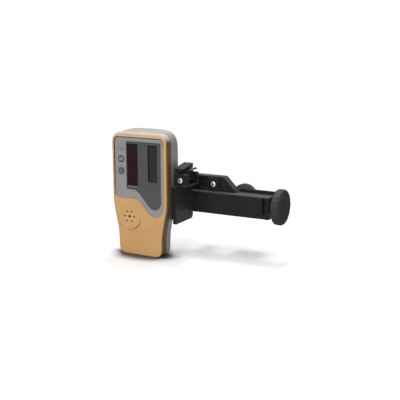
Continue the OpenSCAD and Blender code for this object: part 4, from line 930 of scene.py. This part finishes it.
def front_screw(name, box, z, head_r, head_h, shank_r):
    """A cross-head screw that looks to the front and fills its node's box from front to back."""
    low, high = box
    seat = ((low.x + high.x) / 2, low.y + head_h, z)
    return cross_screw(name, seat, -1, head_r, head_h, shank_r, high.y - low.y - head_h - shank_r)


# Painted light: faces that look sideways are lighter, and faces that look up lighter still as
# painted sheen.
black_plastic = nylon("black_nylon", (
    (NYLON_SIDE_PAINTED_LIGHT, "Normal", "X", 0.6, 0.95, True), (NYLON_TOP_PAINTED_SHEEN, "Normal", "Z", 0.4, 1.0, False)))
finished_copy("receiver_bracket", black_plastic, "receiver", edge=0.3 * MM)
bracket_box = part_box("bracket_screws")
bracket_screws = one_piece("bracket_screw_pair", [
    front_screw("bracket_screw", bracket_box, z, BRACKET_HEAD_R, BRACKET_HEAD_H, BRACKET_SHANK_R)
    for z in (bracket_box[0].z + BRACKET_HEAD_R, bracket_box[1].z - BRACKET_HEAD_R)])
fitted(bracket_screws, steel, "steel", "receiver", "bracket_screws")

# Side shade strip: a thin black strip inside the plate, reaching past its front edge, in the seal's
# matte black. It is painted shade, a dark piece that stands for the shade in the gap by the plate.
SHADE_STRIP_X, SHADE_STRIP_THICK = 37.1 * MM, 1.1 * MM
SHADE_STRIP_FRONT, SHADE_STRIP_BACK = -5.5 * MM, 6.0 * MM
SHADE_STRIP_FOOT, SHADE_STRIP_HEAD = 46.0 * MM, 83.0 * MM
SHADE_STRIP_CORNER, SHADE_STRIP_ROUND = 1.2 * MM, 0.3 * MM
SHADE_STRIP_CORNER_STEPS, SHADE_STRIP_ROUND_STEPS = 10, 5


def side_shade_strip(name):
    """A thin slab with round corners: its outline in Y and Z, four quarter circles, drawn in along
    a quarter circle at both faces, and closed by a point in the middle of each face."""
    quarter = np.linspace(0, np.pi / 2, SHADE_STRIP_CORNER_STEPS)
    angle = np.concatenate([quarter + k * np.pi / 2 for k in range(4)])
    front, back = SHADE_STRIP_FRONT + SHADE_STRIP_CORNER, SHADE_STRIP_BACK - SHADE_STRIP_CORNER
    foot, head = SHADE_STRIP_FOOT + SHADE_STRIP_CORNER, SHADE_STRIP_HEAD - SHADE_STRIP_CORNER
    middle_y = np.repeat([back, front, front, back], SHADE_STRIP_CORNER_STEPS)
    middle_z = np.repeat([head, head, foot, foot], SHADE_STRIP_CORNER_STEPS)
    roll = np.linspace(0, np.pi / 2, SHADE_STRIP_ROUND_STEPS)
    drawn_in, risen = SHADE_STRIP_ROUND * (1 - np.sin(roll)), SHADE_STRIP_ROUND * (1 - np.cos(roll))
    inset = np.concatenate([drawn_in, risen])[:, None]
    x = SHADE_STRIP_X + np.concatenate([risen, SHADE_STRIP_THICK - drawn_in])[:, None]
    points = turned(SHADE_STRIP_CORNER - inset, x, (middle_y, middle_z), "X", angle)
    return closed_form(name, capped(points))


fitted(side_shade_strip("side_shade_strip"), seal_rubber, "seal_rubber", "receiver")

# Lock lever: a ribbed thumb lever between the housing's cheeks, turning on a bright cross-head
# screw. Its nose reaches through the bracket and holds the receiver's side.
BRIGHT = (0.68, 0.68, 0.69, 1)
PIVOT_HEAD_H, PIVOT_SHANK_R = 1.7 * MM, 2.0 * MM
finished_copy("lock_lever", black_plastic, "lever", edge=0.3 * MM)
bright = plated_metal("bright_plating", BRIGHT, gloss=0.5, worn=0.06)
low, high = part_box("lever_screw")
pivot = front_screw("lever_pivot", (low, high), (low.z + high.z) / 2,
                    (high.x - low.x) / 2, PIVOT_HEAD_H, PIVOT_SHANK_R)
fitted(pivot, bright, "bright_screw", "receiver", "lever_screw")

# Clamp arm and fixed jaw: a hollow black arm screwed to the bracket's foot, with a sloped fence on
# top and a leg behind it. A small plate under a bright screw closes the fence's front.
JAW_HEAD_H, JAW_SHANK_R = 1.6 * MM, 1.5 * MM
PAD_BLACK = (0.010, 0.010, 0.010, 1)
PAD_DUST = (0.02, 0.02, 0.019, 1)
# Painted sheen lightens the fence's faces that look up; the flattest tops go back to the worn tone.
fence_plastic = nylon("fence_nylon", (
    (NYLON_TOP_PAINTED_SHEEN, "Normal", "Z", 0.4, 1.0, False), (NYLON_WORN, "Normal", "Z", 0.85, 0.98, False)))
for name, plastic, width in (
    ("clamp_arm", black_plastic, 0.4 * MM), ("fixed_jaw", fence_plastic, 0.4 * MM),
    ("jaw_plate", black_plastic, 0.3 * MM), ("end_bearing", black_plastic, 0.2 * MM),
):
    finished_copy(name, plastic, "receiver", edge=width)
low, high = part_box("jaw_screw")
plate_screw = front_screw("plate_screw", (low, high), (low.z + high.z) / 2,
                          (high.x - low.x) / 2, JAW_HEAD_H, JAW_SHANK_R)
fitted(plate_screw, bright, "bright_screw", "receiver", "jaw_screw")
pad_rubber = moulded_plastic(
    "pad_rubber", PAD_BLACK, PAD_DUST, grain=0.9 * MM, gloss=0.75, depth=0.06 * MM, specular=0.3)
finished_copy("fixed_pad", pad_rubber, "receiver", edge=0.2 * MM)

# Moving jaw: a round-topped block that slides behind the arm on a tongue, pulled by a brass nut on
# the clamp screw. Its rubber pad faces the fixed one.
JAW_BLACK = (0.062, 0.063, 0.062, 1)
JAW_WORN = (0.098, 0.099, 0.097, 1)
jaw_plastic = moulded_plastic(
    "jaw_nylon", JAW_BLACK, JAW_WORN, grain=0.8 * MM, gloss=0.6, depth=0.06 * MM, specular=0.1)
finished_copy("moving_jaw", jaw_plastic, "jaw", edge=0.4 * MM)
finished_copy("moving_pad", pad_rubber, "jaw", edge=0.2 * MM)
finished_copy("screw_nut", brass, "jaw", edge=0.3 * MM)

# Clamp screw: a steel screw with a coarse rolled thread, held by a collar behind the end bearing.
# Turning the knob winds the nut, and with it the moving jaw, along the arm.
THREAD_LEAD, THREAD_DEPTH = 3.0 * MM, 0.55 * MM
THREAD_MEAN_SHARE, THREAD_SWING_SHARE = 0.5, 0.75
ROWS_A_LEAD, SCREW_SIDES = 14, 48
collar_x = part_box("screw_collar")[0].x
screw_low, screw_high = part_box("clamp_screw")
SCREW_R = (screw_high.z - screw_low.z) / 2
screw_axis = ((screw_low.y + screw_high.y) / 2, (screw_low.z + screw_high.z) / 2)


def threaded_bar(name):
    """A threaded bar: its full radius less a rounded groove, a cosine of place and angle along the
    helix, with no groove past the collar or at the very ends."""
    rows = int((screw_high.x - screw_low.x) / THREAD_LEAD * ROWS_A_LEAD)
    x = np.linspace(screw_low.x, screw_high.x, rows)[:, None]
    turn = full_turn(SCREW_SIDES)
    phase = 2 * np.pi * (x / THREAD_LEAD) - turn
    groove = np.clip(THREAD_MEAN_SHARE - THREAD_SWING_SHARE * np.cos(phase), 0, 1)
    lead_in = np.clip((x - screw_low.x) / THREAD_LEAD, 0, 1)
    run_out = np.clip((collar_x - x) / THREAD_LEAD, 0, 1)
    radius = SCREW_R - THREAD_DEPTH * groove * lead_in * run_out
    return closed_form(name, capped(turned(radius, x, screw_axis, "X", turn)))


fitted(threaded_bar("threaded_bar"), steel, "steel", "knob", "clamp_screw")
finished_copy("screw_collar", brass, "knob", edge=0.2 * MM)

# Knob: a round black moulding with a bowl in its face, finger flutes round its rim and a short neck
# that runs against the arm's end. It is pressed on the clamp screw.
knob_low, knob_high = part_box("clamp_knob")
KNOB_R = (knob_high.z - knob_low.z) / 2
KNOB_T = 9.6 * MM
NECK_R, NECK_EDGE, NECK_FLARE = 8.0 * MM, 0.4 * MM, 0.6 * MM
RIM_ROUND, RIM_W, RIM_STEPS = 2.6 * MM, 2.8 * MM, 4
LIP_ROUND = 0.6 * MM
STEP_D, STEP_ROUND = 1.2 * MM, 0.3 * MM
BOWL_D, BOWL_RINGS = 2.4 * MM, 16
BACK_FROM, BACK_TO, BACK_RINGS = NECK_R + 2.0 * MM, KNOB_R - RIM_ROUND - 1.0 * MM, 5
FLUTES, FLUTE_D = 20, 0.3 * MM
FLUTE_SWING, FLUTE_MEAN, FLUTE_POWER = 1.6, 0.6, 0.8
KNOB_STEPS = 288
KNOB_CREASE = 50.0
KNOB_BLACK = (0.046, 0.0465, 0.0475, 1)
KNOB_RUBBED = (0.056, 0.0565, 0.0575, 1)
KNOB_FACE_PAINTED_LIGHT = (0.060, 0.0605, 0.062, 1)
KNOB_TOP_PAINTED_SHEEN = (0.08, 0.081, 0.082, 1)


def round_corner(middle, radius, start, end, steps=9):
    """Points (radius, place) along a round corner of a profile, angles in degrees from outwards."""
    angle = np.radians(np.linspace(start, end, steps))
    return np.stack([middle[0] + radius * np.cos(angle), middle[1] + radius * np.sin(angle)], -1)


def clamp_knob(name):
    """The knob's profile (radius, place along the axis) carried round it, less the flutes.

    Inside the rim a short step leads to a bowl, whose depth falls with the square of the radius. A
    flute is a rounded groove: its depth is a raised cosine of the angle to the nearest flute, and
    it counts only where the profile is near its full radius.
    """
    face = knob_high.x
    back = face - KNOB_T
    step = face - STEP_D
    bowl_r = KNOB_R - RIM_W - LIP_ROUND
    bowl = np.linspace(bowl_r - STEP_ROUND, 0.0, BOWL_RINGS)
    rim_x = np.linspace(back + RIM_ROUND, face - RIM_ROUND, RIM_STEPS + 2)[1:-1]
    profile = np.concatenate([
        [[0.0, knob_low.x], [NECK_R - NECK_EDGE, knob_low.x], [NECK_R, knob_low.x + NECK_EDGE]],
        [[NECK_R, back - NECK_FLARE], [NECK_R + NECK_FLARE, back]],
        np.stack([np.linspace(BACK_FROM, BACK_TO, BACK_RINGS), np.full(BACK_RINGS, back)], -1),
        round_corner((KNOB_R - RIM_ROUND, back + RIM_ROUND), RIM_ROUND, -90, 0),
        np.stack([np.full(RIM_STEPS, KNOB_R), rim_x], -1),
        round_corner((KNOB_R - RIM_ROUND, face - RIM_ROUND), RIM_ROUND, 0, 90),
        round_corner((KNOB_R - RIM_W, face - LIP_ROUND), LIP_ROUND, 90, 170, 5),
        [[bowl_r, step + STEP_ROUND]],
        np.stack([bowl, step - BOWL_D * (1 - (bowl / bowl_r) ** 2)], -1),
    ])
    radius, x = profile[:, :1], profile[:, 1:]
    turn = full_turn(KNOB_STEPS)
    flute = np.clip(FLUTE_SWING * np.cos(FLUTES * turn) - FLUTE_MEAN, 0, 1) ** FLUTE_POWER
    near_rim = np.clip((radius - (KNOB_R - RIM_ROUND)) / RIM_ROUND, 0, 1)
    points = turned(radius - FLUTE_D * flute * near_rim, x, screw_axis, "X", turn)
    return closed_form(name, points, KNOB_CREASE)


knob_plastic = moulded_plastic(
    "knob_nylon", KNOB_BLACK, KNOB_RUBBED, grain=0.5 * MM, gloss=0.6, specular=0.02, films=(
        # Painted light: the face is lighter than the rim, and faces that look up paler still as
        # painted sheen.
        (KNOB_FACE_PAINTED_LIGHT, "Normal", "X", 0.6, 0.95, False), (KNOB_TOP_PAINTED_SHEEN, "Normal", "Z", 0.2, 0.95, False)))
fitted(clamp_knob("clamp_knob_turned"), knob_plastic, "black_plastic", "knob", "clamp_knob")

low, high = cad_box
